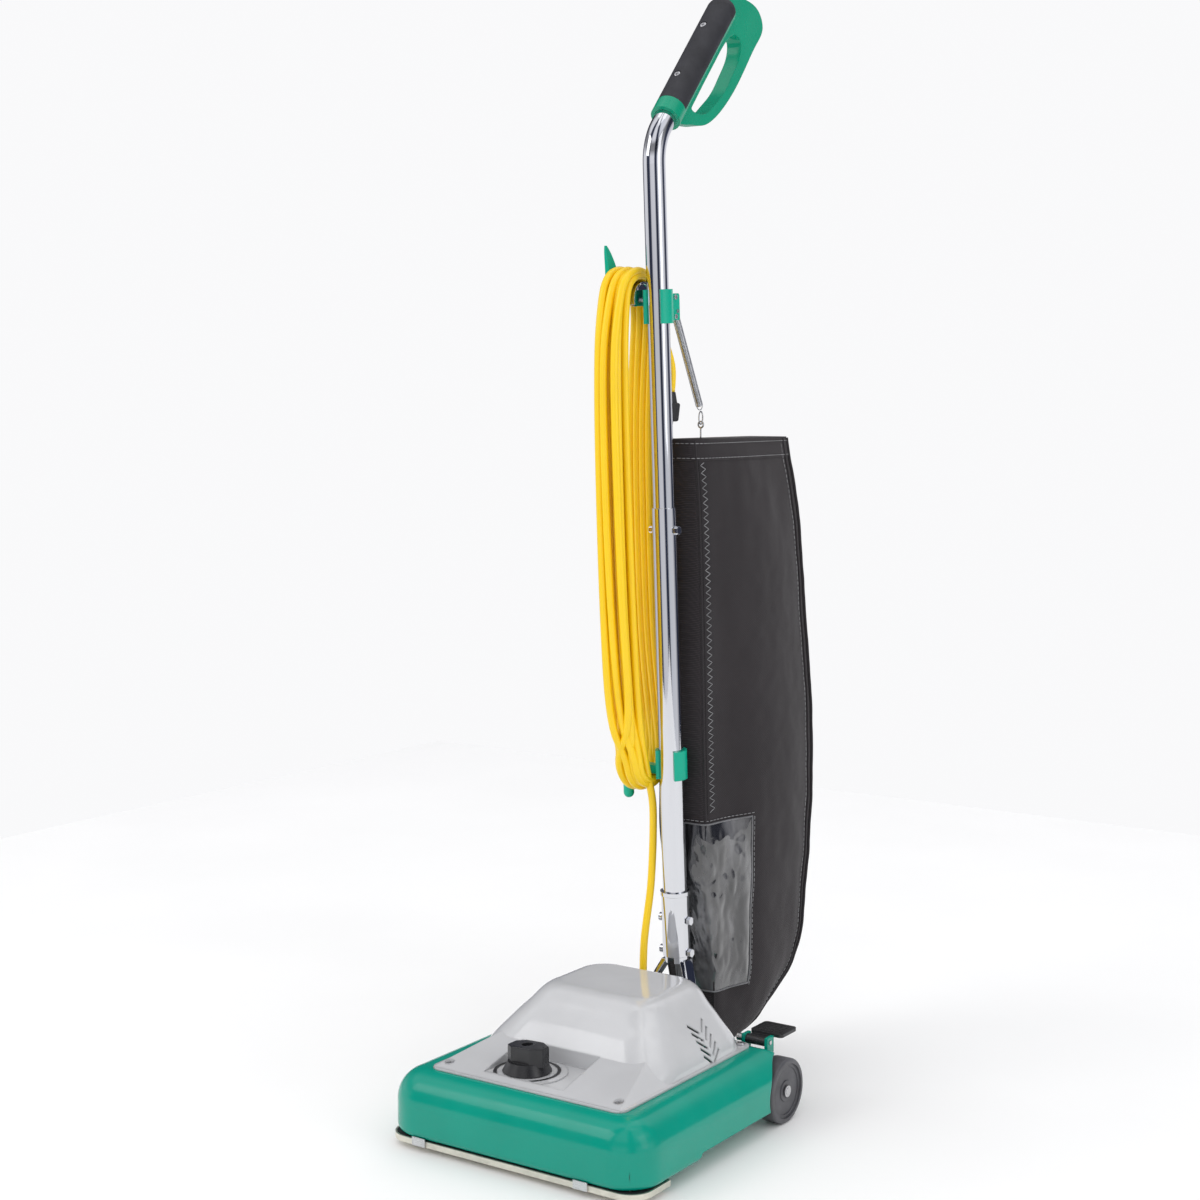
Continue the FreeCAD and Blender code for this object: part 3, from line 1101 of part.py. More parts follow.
def handle_parts():
    upright = {
        "bail": bail(), "sleeve": sleeve(), "handle_bolts": group(sleeve_bolts(), tube_bolt()),
        "lower_tube": lower_tube(), "upper_tube": upper_tube(),
        "grip_shell": grip_shell(), "grip_overlay": grip_overlay(),
        "handle_screws": group(grip_screws(), clip_screws()),
        "upper_clip": upper_clip(), "clip_pins": group(saddle_pin(), spring_hook()),
        "cord_saddle": cord_saddle(), "cord_horn": cord_horn(), "lower_clip": lower_clip(),
        "cord_hank": cord_hank(),
    }
    parked = {name: lean(shape) for name, shape in upright.items()}
    parked.update({
        "cord_lead": route_tube(LEAD_ROUTE, CORD_D / 2), "cord_tail": route_tube(TAIL_ROUTE, CORD_D / 2),
        "plug": plug(), "dust_bag": dust_bag(), "bag_clamp": bag_clamp(),
        "bag_spring": bag_spring(), "bag_hook": group(bag_ring_link(), bag_hook()),
    })
    return parked


os.makedirs(OUT, exist_ok=True)
for built in (base_parts(), moving_base_parts(), handle_parts()):
    for node, node_shape in built.items():
        save(node, node_shape)
without_cord = [shape.BoundBox for name, shape in NODES.items()
                if not name.startswith("cord_l") and name not in ("cord_hank", "cord_tail", "plug")]
front, rear = min(b.YMin for b in without_cord), max(b.YMax for b in without_cord)
print(len(NODES), "nodes, middle at y %.3f" % ((front + rear) / 2))
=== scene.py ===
# Looks of the commercial upright vacuum cleaner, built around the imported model. Metres.
# Sizes of the machine are written in millimetres from the middle of its base, as in part.py,
# and mm() or leaned() puts them in the model's own frame.
import bpy
import math
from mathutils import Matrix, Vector, noise


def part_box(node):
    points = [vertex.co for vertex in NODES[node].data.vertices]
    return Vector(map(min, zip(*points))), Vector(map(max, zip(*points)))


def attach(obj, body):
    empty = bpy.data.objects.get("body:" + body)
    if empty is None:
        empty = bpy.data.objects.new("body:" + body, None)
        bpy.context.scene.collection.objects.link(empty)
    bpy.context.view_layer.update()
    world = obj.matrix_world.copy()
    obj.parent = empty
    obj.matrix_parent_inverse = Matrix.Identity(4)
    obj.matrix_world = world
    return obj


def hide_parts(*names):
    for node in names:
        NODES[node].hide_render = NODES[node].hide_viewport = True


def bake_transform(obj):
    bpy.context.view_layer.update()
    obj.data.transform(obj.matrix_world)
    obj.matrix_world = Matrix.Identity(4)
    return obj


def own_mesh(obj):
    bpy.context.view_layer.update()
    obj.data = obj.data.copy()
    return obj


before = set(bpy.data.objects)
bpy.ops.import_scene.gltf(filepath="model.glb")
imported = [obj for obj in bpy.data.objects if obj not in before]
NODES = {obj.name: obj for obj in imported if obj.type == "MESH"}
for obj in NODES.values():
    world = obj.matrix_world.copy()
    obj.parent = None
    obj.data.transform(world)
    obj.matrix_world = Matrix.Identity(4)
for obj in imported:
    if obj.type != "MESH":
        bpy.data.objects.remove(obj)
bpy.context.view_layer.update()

# ---- driving dimensions, millimetres -------------------------------------------------------
CENTRE_Y = 126.595                  # where the model's own frame has its origin
PIVOT_Y, PIVOT_Z, LEAN = 140.0, 80.0, math.radians(3.38)
TUBE_Y = 169.5
CORD_R = 4.5
SADDLE_Z, ARM_Z = 925.0, 376.0      # what the hank hangs over and passes under


def mm(x, y, z):
    return Vector((x, y - CENTRE_Y, z)) / 1000


def leaned(x, y, z):
    """A point of the upright handle, taken to where it is parked."""
    dy, dz = y - PIVOT_Y, z - PIVOT_Z
    return mm(x, PIVOT_Y + dy * math.cos(LEAN) - dz * math.sin(LEAN),
              PIVOT_Z + dy * math.sin(LEAN) + dz * math.cos(LEAN))


# ---- mesh helpers --------------------------------------------------------------------------
def mesh_piece(name, points, faces, material, body, smooth=True):
    mesh = bpy.data.meshes.new(name)
    mesh.from_pydata([tuple(p) for p in points], [], faces)
    mesh.validate()
    for face in mesh.polygons:
        face.use_smooth = smooth
    piece = bpy.data.objects.new(name, mesh)
    bpy.context.collection.objects.link(piece)
    mesh.materials.append(material)
    if body:
        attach(piece, body)
    return piece


def skin_rings(rings, closed_ring=True, cap=True):
    """Faces that join rings of equal length one after another."""
    count = len(rings[0])
    points = [p for ring in rings for p in ring]
    faces = []
    across = count if closed_ring else count - 1
    for i in range(len(rings) - 1):
        for j in range(across):
            a, b = i * count + j, i * count + (j + 1) % count
            faces.append((a, b, b + count, a + count))
    if cap:
        faces.append(tuple(reversed(range(count))))
        faces.append(tuple(range(len(points) - count, len(points))))
    return points, faces


def tube_rings(path, radius, sides=10):
    """Rings along a path, carried round its bends without twisting. radius may be a function."""
    path = [Vector(p) for p in path]
    rings = []
    side = None
    for i, here in enumerate(path):
        way = (path[min(i + 1, len(path) - 1)] - path[max(i - 1, 0)]).normalized()
        if side is None:
            side = way.orthogonal().normalized()
        side = (side - way * side.dot(way)).normalized()
        other = way.cross(side)
        r = radius(i / (len(path) - 1)) if callable(radius) else radius
        rings.append([here + (side * math.cos(t) + other * math.sin(t)) * r
                      for t in (2 * math.pi * k / sides for k in range(sides))])
    return rings


def tube_piece(name, path, radius, material, body, sides=10):
    points, faces = skin_rings(tube_rings(path, radius, sides))
    return mesh_piece(name, points, faces, material, body)


def nurbs_points(name, points, per_span=6):
    """Points along the smooth NURBS line that the given control points make."""
    line = bpy.data.curves.new(name, "CURVE")
    line.dimensions = "3D"
    spline = line.splines.new("NURBS")
    spline.points.add(len(points) - 1)
    for knot, p in zip(spline.points, points):
        knot.co = (*p, 1.0)
    spline.order_u = 3
    spline.use_endpoint_u = True
    line.resolution_u = per_span
    holder = bpy.data.objects.new(name, line)
    mesh = bpy.data.meshes.new_from_object(holder)
    path = [v.co.copy() for v in mesh.vertices]
    bpy.data.objects.remove(holder)
    bpy.data.meshes.remove(mesh)
    return path


def path_length(path):
    return sum((b - a).length for a, b in zip(path, path[1:]))


# ---- materials -----------------------------------------------------------------------------
class Shader:
    """A Principled material with short ways to add procedural detail."""

    def __init__(self, name, colour, rough, metallic=0.0, **sockets):
        self.material = bpy.data.materials.new(name)
        self.material.use_nodes = True
        self.tree = self.material.node_tree
        self.bsdf = self.tree.nodes["Principled BSDF"]
        self.bsdf.inputs["Base Color"].default_value = (*colour, 1)
        self.bsdf.inputs["Roughness"].default_value = rough
        self.bsdf.inputs["Metallic"].default_value = metallic
        for socket, value in sockets.items():
            self.bsdf.inputs[socket.replace("_", " ")].default_value = value
        self.colour = colour
        self.rough = rough
        self.normal = None

    def node(self, kind, **values):
        made = self.tree.nodes.new("ShaderNode" + kind)
        for key, value in values.items():
            setattr(made, key, value)
        return made

    def link(self, a, b):
        self.tree.links.new(a, b)

    def coords(self, scale=(1, 1, 1), turn=(0, 0, 0)):
        where = self.node("TexCoord")
        mapping = self.node("Mapping")
        mapping.inputs["Scale"].default_value = scale
        mapping.inputs["Rotation"].default_value = turn
        self.link(where.outputs["Object"], mapping.inputs["Vector"])
        return mapping.outputs["Vector"]

    def noise(self, scale, detail=4.0, stretch=(1, 1, 1)):
        made = self.node("TexNoise")
        made.inputs["Scale"].default_value = scale
        made.inputs["Detail"].default_value = detail
        self.link(self.coords(stretch), made.inputs["Vector"])
        return made.outputs["Fac"]

    def ramp(self, factor, low, high, at=(0.35, 0.65)):
        made = self.node("ValToRGB")
        made.color_ramp.elements[0].position = at[0]
        made.color_ramp.elements[1].position = at[1]
        made.color_ramp.elements[0].color = (*low, 1)
        made.color_ramp.elements[1].color = (*high, 1)
        self.link(factor, made.inputs["Fac"])
        return made.outputs["Color"]

    def vary_colour(self, scale, amount, stretch=(1, 1, 1)):
        low = [c * (1 - amount) for c in self.colour]
        high = [min(1, c * (1 + amount)) for c in self.colour]
        self.link(self.ramp(self.noise(scale, 5, stretch), low, high),
                  self.bsdf.inputs["Base Color"])
        return self

    def vary_rough(self, scale, spread, stretch=(1, 1, 1)):
        remap = self.node("MapRange")
        remap.inputs["From Min"].default_value = 0.3
        remap.inputs["From Max"].default_value = 0.7
        remap.inputs["To Min"].default_value = max(0.02, self.rough - spread)
        remap.inputs["To Max"].default_value = self.rough + spread
        self.link(self.noise(scale, 6, stretch), remap.inputs["Value"])
        self.link(remap.outputs["Result"], self.bsdf.inputs["Roughness"])
        return self

    def bump(self, height, distance, strength=0.5):
        made = self.node("Bump")
        made.inputs["Distance"].default_value = distance
        made.inputs["Strength"].default_value = strength
        self.link(height, made.inputs["Height"])
        if self.normal:
            self.link(self.normal, made.inputs["Normal"])
        self.normal = made.outputs["Normal"]
        self.link(self.normal, self.bsdf.inputs["Normal"])
        return self

    def round_edges(self, radius):
        made = self.node("Bevel", samples=6)
        made.inputs["Radius"].default_value = radius
        self.normal = made.outputs["Normal"]
        self.link(self.normal, self.bsdf.inputs["Normal"])
        return self


def moulded(name, colour, rough=0.22, edge=0.0015, coat=0.4):
    """Glossy moulded plastic: faint orange peel, handling haze, rounded edges."""
    shader = Shader(name, colour, rough, Coat_Weight=coat, Coat_Roughness=0.08,
                    Specular_IOR_Level=0.3)
    shader.round_edges(edge)
    shader.bump(shader.noise(900, 2), 0.00004, 0.25)
    return shader.vary_colour(14, 0.04).vary_rough(30, 0.05).material


def satin(name, colour, rough=0.45, edge=0.001):
    """Black or grey plastic with a fine spark-eroded grain."""
    shader = Shader(name, colour, rough)
    shader.round_edges(edge)
    shader.bump(shader.noise(2200, 3), 0.00008, 0.5)
    return shader.vary_colour(40, 0.18).vary_rough(60, 0.08).material


def metal(name, colour, rough=0.3, grain=(1, 1, 30), edge=0.0006):
    shader = Shader(name, colour, rough, 1.0)
    shader.round_edges(edge)
    shader.bump(shader.noise(500, 3, grain), 0.00003, 0.3)
    return shader.vary_colour(60, 0.08).vary_rough(90, 0.1, grain).material


def chrome(name):
    """Plated tube: bright, with faint drawing lines and a few hazy patches."""
    shader = Shader(name, (0.68, 0.69, 0.72), 0.06, 1.0)
    shader.round_edges(0.0006)
    shader.bump(shader.noise(260, 2, (1, 1, 0.02)), 0.00002, 0.25)
    shader.bump(shader.noise(30, 2), 0.0001, 0.06)
    return shader.vary_rough(45, 0.035, (1, 1, 0.3)).material


def cloth(name, colour):
    """Diagonal polyester twill, a little dusty, with soft sheen."""
    shader = Shader(name, colour, 0.85, Sheen_Weight=0.15, Sheen_Roughness=0.4,
                    Specular_IOR_Level=0.25)
    ribs = []
    for turn in (0.62, -0.95):
        wave = shader.node("TexWave", wave_type="BANDS", bands_direction="Z")
        wave.inputs["Scale"].default_value = 190.0
        wave.inputs["Distortion"].default_value = 1.2
        wave.inputs["Detail"].default_value = 2.0
        shader.link(shader.coords((1, 1, 1), (turn, 0, 0)), wave.inputs["Vector"])
        ribs.append(wave.outputs["Fac"])
    weave = shader.node("Math", operation="MULTIPLY")
    shader.link(ribs[0], weave.inputs[0])
    shader.link(ribs[1], weave.inputs[1])
    fleck = shader.node("Mix", data_type="RGBA")
    shader.link(weave.outputs[0], fleck.inputs["Factor"])
    fleck.inputs["A"].default_value = (*[c * 0.72 for c in colour], 1)
    fleck.inputs["B"].default_value = (*[c * 1.45 for c in colour], 1)
    dust = shader.node("Mix", data_type="RGBA", blend_type="MULTIPLY")
    dust.inputs["Factor"].default_value = 1.0
    shader.link(fleck.outputs["Result"], dust.inputs["A"])
    shader.link(shader.ramp(shader.noise(7, 6), (0.82, 0.82, 0.82), (1.0, 1.0, 1.0)),
                dust.inputs["B"])
    shader.link(dust.outputs["Result"], shader.bsdf.inputs["Base Color"])
    shader.bump(shader.noise(16, 5), 0.003, 0.25)
    shader.bump(weave.outputs[0], 0.00035, 0.7)
    return shader.material


def cord_jacket(name):
    shader = Shader(name, (0.97, 0.64, 0.004), 0.34, Subsurface_Weight=0.08,
                    Subsurface_Radius=(0.004, 0.003, 0.0005), Coat_Weight=0.15)
    shader.bump(shader.noise(260, 1), 0.00003, 0.12)
    return shader.vary_colour(9, 0.03).vary_rough(40, 0.05).material


def vinyl(name):
    """The bag's window as a dark glossy skin, cloudy in patches. It can't be seen through."""
    shader = Shader(name, (0.03, 0.03, 0.033), 0.09, Coat_Weight=1.0, Coat_Roughness=0.02,
                    IOR=1.5, Specular_IOR_Level=0.8)
    shader.bump(shader.noise(20, 3, (1, 1, 0.5)), 0.006, 0.6)
    shader.bump(shader.noise(75, 2, (1, 1, 0.6)), 0.0012, 0.35)
    shader.link(shader.ramp(shader.noise(17, 4, (1.4, 1.4, 0.5)), (0.016, 0.016, 0.018),
                            (0.2, 0.2, 0.21), (0.46, 0.74)), shader.bsdf.inputs["Base Color"])
    return shader.material


def wood(name):
    shader = Shader(name, (0.5, 0.36, 0.2), 0.4, Coat_Weight=0.5)
    grain = shader.ramp(shader.noise(60, 6, (0.05, 1, 1)), (0.36, 0.22, 0.1), (0.6, 0.44, 0.25))
    shader.link(grain, shader.bsdf.inputs["Base Color"])
    return shader.bump(shader.noise(90, 4, (0.05, 1, 1)), 0.0002, 0.3).material


# Every material, by a short key.
M = {
    "green": moulded("green_plastic", (0.0, 0.29, 0.21), 0.2, 0.0015, 0.12),
    "grip_green": moulded("grip_green_plastic", (0.0, 0.3, 0.17), 0.26, 0.0015, 0.15),
    "clip_green": moulded("clip_green_plastic", (0.0, 0.4, 0.26), 0.3, 0.001, 0.1),
    "silver": moulded("silver_plastic", (0.56, 0.565, 0.58), 0.15, 0.004, 0.9),
    "black": satin("black_plastic", (0.02, 0.02, 0.022), 0.3),
    "overlay": satin("soft_overlay", (0.024, 0.024, 0.03), 0.6),
    "rubber": satin("black_rubber", (0.022, 0.022, 0.024), 0.62),
    "wheel": satin("wheel_grey", (0.07, 0.07, 0.078), 0.42),
    "chrome": chrome("chrome_plate"),
    "steel": metal("plain_steel", (0.62, 0.62, 0.63)),
    "spring": metal("spring_wire", (0.6, 0.61, 0.63), 0.22),
    "zinc": metal("pale_plate", (0.78, 0.75, 0.66), 0.5),
    "motor": metal("motor_paint", (0.2, 0.21, 0.23), 0.45),
    "copper": metal("copper", (0.7, 0.35, 0.18), 0.35),
    "grey": satin("grey_plastic", (0.22, 0.23, 0.25), 0.5),
    "wood": wood("varnished_wood"),
    "bristle": satin("nylon_bristle", (0.05, 0.05, 0.05), 0.6),
    "cloth": cloth("bag_twill", (0.036, 0.031, 0.034)),
    "piping": cloth("bag_piping", (0.035, 0.031, 0.034)),
    "thread": satin("grey_thread", (0.3, 0.3, 0.31), 0.8),
    "vinyl": vinyl("window_vinyl"),
    "cord": cord_jacket("yellow_jacket"),
    "vinyl_edge": satin("window_edging", (0.16, 0.16, 0.17), 0.3),
}

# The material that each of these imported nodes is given.
FINISH = {
    "green": ["base_housing"],
    "grip_green": ["grip_shell"],
    "clip_green": ["upper_clip", "lower_clip", "cord_horn"],
    "silver": ["hood"],
    "zinc": ["sole_plate", "lead_bracket"],
    "black": ["height_knob", "release_pedal", "switch_button", "switch_box", "knob_shaft",
              "brush_bearings"],
    "overlay": ["grip_overlay"],
    "rubber": ["nozzle_gasket", "drive_belt", "plug", "strain_relief", "front_wheels"],
    "wheel": ["rear_wheel_left", "rear_wheel_right"],
    "chrome": ["lower_tube", "upper_tube", "sleeve", "cord_saddle", "handle_bolts", "bail"],
    "steel": ["hood_screws", "handle_screws", "knob_screw", "hinge_pins", "rear_axles", "pedal_pin",
              "pedal_spring", "switch_spring", "bag_clamp", "clip_pins", "carriage", "front_axle",
              "sole_clips", "motor_shaft", "motor_bearings"],
    "motor": ["motor_housing"],
    "copper": ["motor_stator", "armature"],
    "grey": ["fan_housing", "fan_impeller", "inlet_duct", "exhaust_duct"],
    "wood": ["brush_core"],
    "bristle": ["brush_bristles"],
}


def finish_nodes():
    for key, names in FINISH.items():
        for name in names:
            mesh = NODES[name].data
            mesh.materials.clear()
            mesh.materials.append(M[key])


def finish_dial():
    """The dial is silver like the hood, with one raised black ring."""
    mesh = NODES["dial_plate"].data
    mesh.materials.clear()
    mesh.materials.append(M["silver"])
    mesh.materials.append(M["black"])
    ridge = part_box("dial_plate")[1][2] - 0.0002
    for face in mesh.polygons:
        if min(mesh.vertices[i].co.z for i in face.vertices) > ridge:
            face.material_index = 1


# ---- cord ----------------------------------------------------------------------------------
LEAD = [(-26, 132, 139.2), (-27, 133.5, 172), (-25.5, 138.5, 206), (-24.5, 145.5, 240),
        (-25.5, 150.5, 274), (-26, 153, 308), (-25, 151, 345), (-24.5, 138, 378)]
TAIL = [(-19.4, 147, 900), (-11.5, 149.5, 882), (-4, 151, 862), (0, 151.5, 842),
        (-2.5, 151.5, 822)]

# One turn of the hank, from the low front up over the saddle and down the back: how far the
# innermost and the outermost strand are behind the tube's axis, and how high.
STATIONS = [
    ((-26, ARM_Z + 68), (-60, ARM_Z + 66)),
    ((-31, SADDLE_Z - 350), (-65, SADDLE_Z - 350)),
    ((-31, SADDLE_Z - 180), (-66, SADDLE_Z - 180)),
    ((-29, SADDLE_Z - 60), (-62, SADDLE_Z - 60)),
    ((-25, SADDLE_Z - 6), (-50, SADDLE_Z - 6)),
    ((-19, SADDLE_Z + 17), (-35, SADDLE_Z + 30)),
    ((0, SADDLE_Z + 24), (-2, SADDLE_Z + 41)),
    ((18.5, SADDLE_Z + 17), (27, SADDLE_Z + 28)),
    ((24, SADDLE_Z - 10), (33, SADDLE_Z - 20)),
    ((16, SADDLE_Z - 65), (30, SADDLE_Z - 90)),
    ((3, SADDLE_Z - 160), (24, SADDLE_Z - 160)),
    ((1, ARM_Z + 180), (21, ARM_Z + 180)),
    ((12, ARM_Z + 85), (24, ARM_Z + 90)),
    ((22, ARM_Z + 30), (28, ARM_Z + 34)),
    ((18, ARM_Z + 4), (26, ARM_Z - 9)),
    ((-3, ARM_Z - 4), (-3, ARM_Z - 24)),
    ((-24, ARM_Z + 4), (-33, ARM_Z - 9)),
    ((-28, ARM_Z + 30), (-47, ARM_Z + 24)),
]
OVER_SADDLE = 7                     # the last turn ends at this station, as the tail leaves
LANES = (-24.2, -32.8, -41.4, -49.8)
# Each turn: its lane across the hank, and how far out it lies, 0 inside to 1 outside.
TURNS = [(0, 0.0), (1, 0.05), (2, 0.0), (3, 0.1), (3, 0.5), (2, 0.45), (1, 0.5), (0.3, 0.6),
         (1.6, 0.95), (2.7, 1.0), (0, 0.85)]
OUTERMOST = 9                       # the turn that lies over all the others
SWAY, SLACK_BEHIND = 0.07, 0.35     # how loose the strands are at the front, and behind the tube


def hank_point(turn, station):
    """Where a strand is at one station: neat over the saddle, looser half way down."""
    lane, out = TURNS[turn]
    (d_in, z_in), (d_out, z_out) = STATIONS[station]
    phase = turn * 2.4 + station * 0.9
    loose = (math.sin(math.pi * station / (OVER_SADDLE + 1.0)) if station <= OVER_SADDLE
             else SLACK_BEHIND)
    out = out + SWAY * loose * math.sin(phase)
    if station in (0, len(STATIONS) - 1) and turn != OUTERMOST:
        out *= 0.72
    out = min(1.0, max(0.0, out))
    run = Vector((d_out - d_in, z_out - z_in))
    depth = CORD_R + out * (run.length - 2 * CORD_R)
    d, z = Vector((d_in, z_in)) + run.normalized() * depth
    left = LANES[int(lane)]
    right = LANES[min(int(lane) + 1, 3)]
    x = left + (right - left) * (lane - int(lane)) + 1.3 * loose * math.cos(phase * 1.3)
    x = min(LANES[0], max(LANES[3], x))
    return leaned(x, TUBE_Y + d, z)


def cord_points():
    points = [mm(*p) for p in LEAD]
    last = len(TURNS) - 1
    for turn in range(len(TURNS)):
        for station in range(len(STATIONS)):
            if turn == last and station > OVER_SADDLE:
                break
            points.append(hank_point(turn, station))
    return points + [mm(*p) for p in TAIL]


def build_cord():
    path = nurbs_points("cord_line", cord_points())
    cord = tube_piece("mains_cord", path, CORD_R / 1000, M["cord"], None, 12)
    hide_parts("cord_lead", "cord_hank", "cord_tail")
    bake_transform(cord)
    print("cord length %.2f m" % path_length(path))


# ---- filter bag ----------------------------------------------------------------------------
# Level by level: height, front, back, then half widths at the front, the middle and the back.
BAG_LEVELS = [
    (30.5, 216, 256, 10, 14, 9), (32, 212, 262, 14, 18, 12), (46, 205, 305, 23, 29, 19),
    (72, 199, 352, 29, 39, 27), (115, 196, 390, 32, 47, 33), (180, 186, 413, 33, 51, 36),
    (270, 178, 425, 32, 53, 37), (370, 172.5, 426, 31, 53, 37), (480, 169.5, 420, 30, 51, 36),
    (600, 166, 406, 29, 47, 34), (700, 163, 388, 27, 40, 31), (767, 158, 374, 24, 29, 26),
]
BAG_TOP, HEM_DEPTH = 767.0, 24.0
BAG_ROWS, BAG_COLUMNS = 230, 176
# The bag stays with the base on one side of this line's start and goes with the handle past its
# end. With the handle down the lower tube still runs through the bag's foot.
# Corded edges: the way round the bag (see bag_flat), how far out and the foot's height in
# millimetres, and the radius in metres.
PIPING = [(0.885, 1.0, 42, 0.0021), (1.115, 1.0, 42, 0.0021), (0.845, 1.0, 42, 0.0014),
          (1.155, 1.0, 42, 0.0014), (0.11, 0.4, 50, 0.0013), (1.89, 0.4, 50, 0.0013)]
TAPE_LOW, ZIGZAG_LOW, ZIGZAG_HIGH = 330, 332, 742
ZIGZAG_WAY, ZIGZAG_SWING = 0.15, 0.014
ZIGZAG_THREAD = 0.0004              # radius in metres
# The window's height, how far round the bag it goes, and how far out its edging and seam lie.
WINDOW_LOW, WINDOW_HIGH = 112.0, 318.0
WINDOW_START, WINDOW_END = -0.06, 0.345
EDGING_OUT, EDGING_R = 1.3, 0.0011
SEAM_OUT, SEAM_WAY = 1.0, 0.012
# The neck: its two ends and the clamp's rear edge along y, its middle height and its radius.
NECK_START, NECK_END, CLAMP_END, NECK_Z, NECK_R = 172, 218, 199, 52, 21.45
NECK_PLEATS, NECK_PLEAT_DEPTH = 13, 0.9


def smooth_between(knots, at):
    """Catmull-Rom value from (position, value) knots."""
    i = max(1, min(len(knots) - 1, sum(1 for k in knots if k[0] < at)))
    (x0, y0), (x1, y1) = knots[i - 1], knots[i]
    before, after = knots[max(0, i - 2)], knots[min(len(knots) - 1, i + 1)]
    t = min(1.0, max(0.0, (at - x0) / (x1 - x0)))
    m0 = (y1 - before[1]) / max(1e-6, x1 - before[0]) * (x1 - x0)
    m1 = (after[1] - y0) / max(1e-6, after[0] - x0) * (x1 - x0)
    return ((2 * t ** 3 - 3 * t ** 2 + 1) * y0 + (t ** 3 - 2 * t ** 2 + t) * m0
            + (3 * t ** 2 - 2 * t ** 3) * y1 + (t ** 3 - t ** 2) * m1)


def bag_measure(z, column):
    return smooth_between([(level[0], level[column]) for level in BAG_LEVELS], z)


def bag_flat(z, way, offset=0.0):
    """A point of the smooth bag at height z. way is 0 at the front middle, 1 at the back middle."""
    side = 1 if way % 2 <= 1 else -1
    way = way % 2 if way % 2 <= 1 else 2 - way % 2
    front, back = bag_measure(z, 1), bag_measure(z, 2)
    w_front, w_middle, w_back = (bag_measure(z, c) for c in (3, 4, 5))
    outline = [(0.0, 0.0, 0.0), (0.09, w_front * 0.86, 0.004), (0.13, w_front + 1.5, 0.03),
               (0.2, w_front + 5, 0.12), (0.42, w_middle, 0.4), (0.66, w_middle - 1, 0.68),
               (0.87, w_back + 1, 0.95), (0.9, w_back - 1.5, 0.985), (1.0, 0.0, 1.0)]
    x = smooth_between([(o[0], o[1]) for o in outline], way)
    share = smooth_between([(o[0], o[2]) for o in outline], way)
    reach = 1 + offset / 45.0
    y = front + (back - front) * share
    middle = (front + back) / 2
    return Vector((side * x * reach, middle + (y - middle) * (1 + offset / 120.0), z))


def bag_sag(p):
    """Creases and slack of the hanging cloth, outward in millimetres."""
    low = max(0.0, 1 - (p.z - 30) / 330.0)
    high = max(0.0, (p.z - 560) / 210.0)
    broad = noise.noise(Vector((p.x * 0.012, p.y * 0.009, p.z * 0.0052 + 3.1)))
    lean = p.z + 0.55 * p.y
    crease = noise.noise(Vector((p.x * 0.02, p.y * 0.016, lean * 0.021 + 7.7)))
    pulls = noise.noise(Vector((p.x * 0.05, p.y * 0.034, p.z * 0.007 + 11.0)))
    fine = noise.noise(Vector((p.x * 0.06, p.y * 0.06, p.z * 0.055 + 5.0)))
    edge = min(1.0, max(0.0, (BAG_TOP - p.z) / 30.0))
    return edge * (3.4 * broad + (1.0 + 3.2 * low) * crease + (0.8 + 1.8 * high + 2.2 * low) * pulls
                   + 0.45 * fine) - 1.0 * edge


def bag_point(z, way, offset=0.0):
    flat = bag_flat(z, way)
    out = bag_flat(z, way, 1.0) - flat
    out.z = 0
    out.normalize()
    return mm(*(flat + out * (bag_sag(flat) + offset)))


def bag_patch(name, levels, ways, offset, material, closed=False, cap=False):
    rings = [[bag_point(z, way, offset(z, way) if callable(offset) else offset) for way in ways]
             for z in levels]
    points, faces = skin_rings(rings, closed, cap)
    return mesh_piece(name, points, faces, material, None)


def follow_bag(piece):
    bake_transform(piece)
    return piece


def steps(low, high, count):
    return [low + (high - low) * i / (count - 1) for i in range(count)]


def join_pieces(name, parts, material):
    """One mesh from several lists of points and faces."""
    points, faces = [], []
    for part_points, part_faces in parts:
        faces += [tuple(i + len(points) for i in face) for face in part_faces]
        points += part_points
    return mesh_piece(name, points, faces, material, None)


def stitches(lines, stitch=0.0042, gap=0.0022, radius=0.00045):
    """Thread dashes along lines of points."""
    dashes = []
    for line in lines:
        travelled, start = 0.0, None
        for a, b in zip(line, line[1:]):
            span = (b - a).length
            phase = travelled % (stitch + gap)
            if phase < stitch:
                start = start or [a]
                start.append(b)
            elif start:
                dashes.append(start)
                start = None
            travelled += span
    return [skin_rings(tube_rings(dash, radius, 5)) for dash in dashes if len(dash) > 1]


def build_bag_shell(ways):
    levels = steps(BAG_LEVELS[0][0], BAG_TOP, BAG_ROWS)
    shell = bag_patch("filter_bag", levels, ways, 0.0, M["cloth"], True, True)
    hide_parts("dust_bag")
    follow_bag(shell)


def build_bag_hem(ways):
    levels = steps(BAG_TOP - HEM_DEPTH, BAG_TOP + 0.6, 12)
    follow_bag(bag_patch("bag_hem", levels, ways, 0.9, M["cloth"], True, True))


def build_bag_tape():
    """Flat tape under the zigzag on one side of the front edge."""
    levels = steps(TAPE_LOW, BAG_TOP - HEM_DEPTH, 120)
    follow_bag(bag_patch("bag_front_tape", levels, steps(0.125, 0.175, 5), 0.7, M["piping"]))


def build_bag_piping():
    cords = []
    for way, out, foot, radius in PIPING:
        line = [bag_point(z, way, out) for z in steps(foot, BAG_TOP - 1, 190)]
        cords.append(skin_rings(tube_rings(line, radius, 8)))
    follow_bag(join_pieces("bag_piping", cords, M["piping"]))


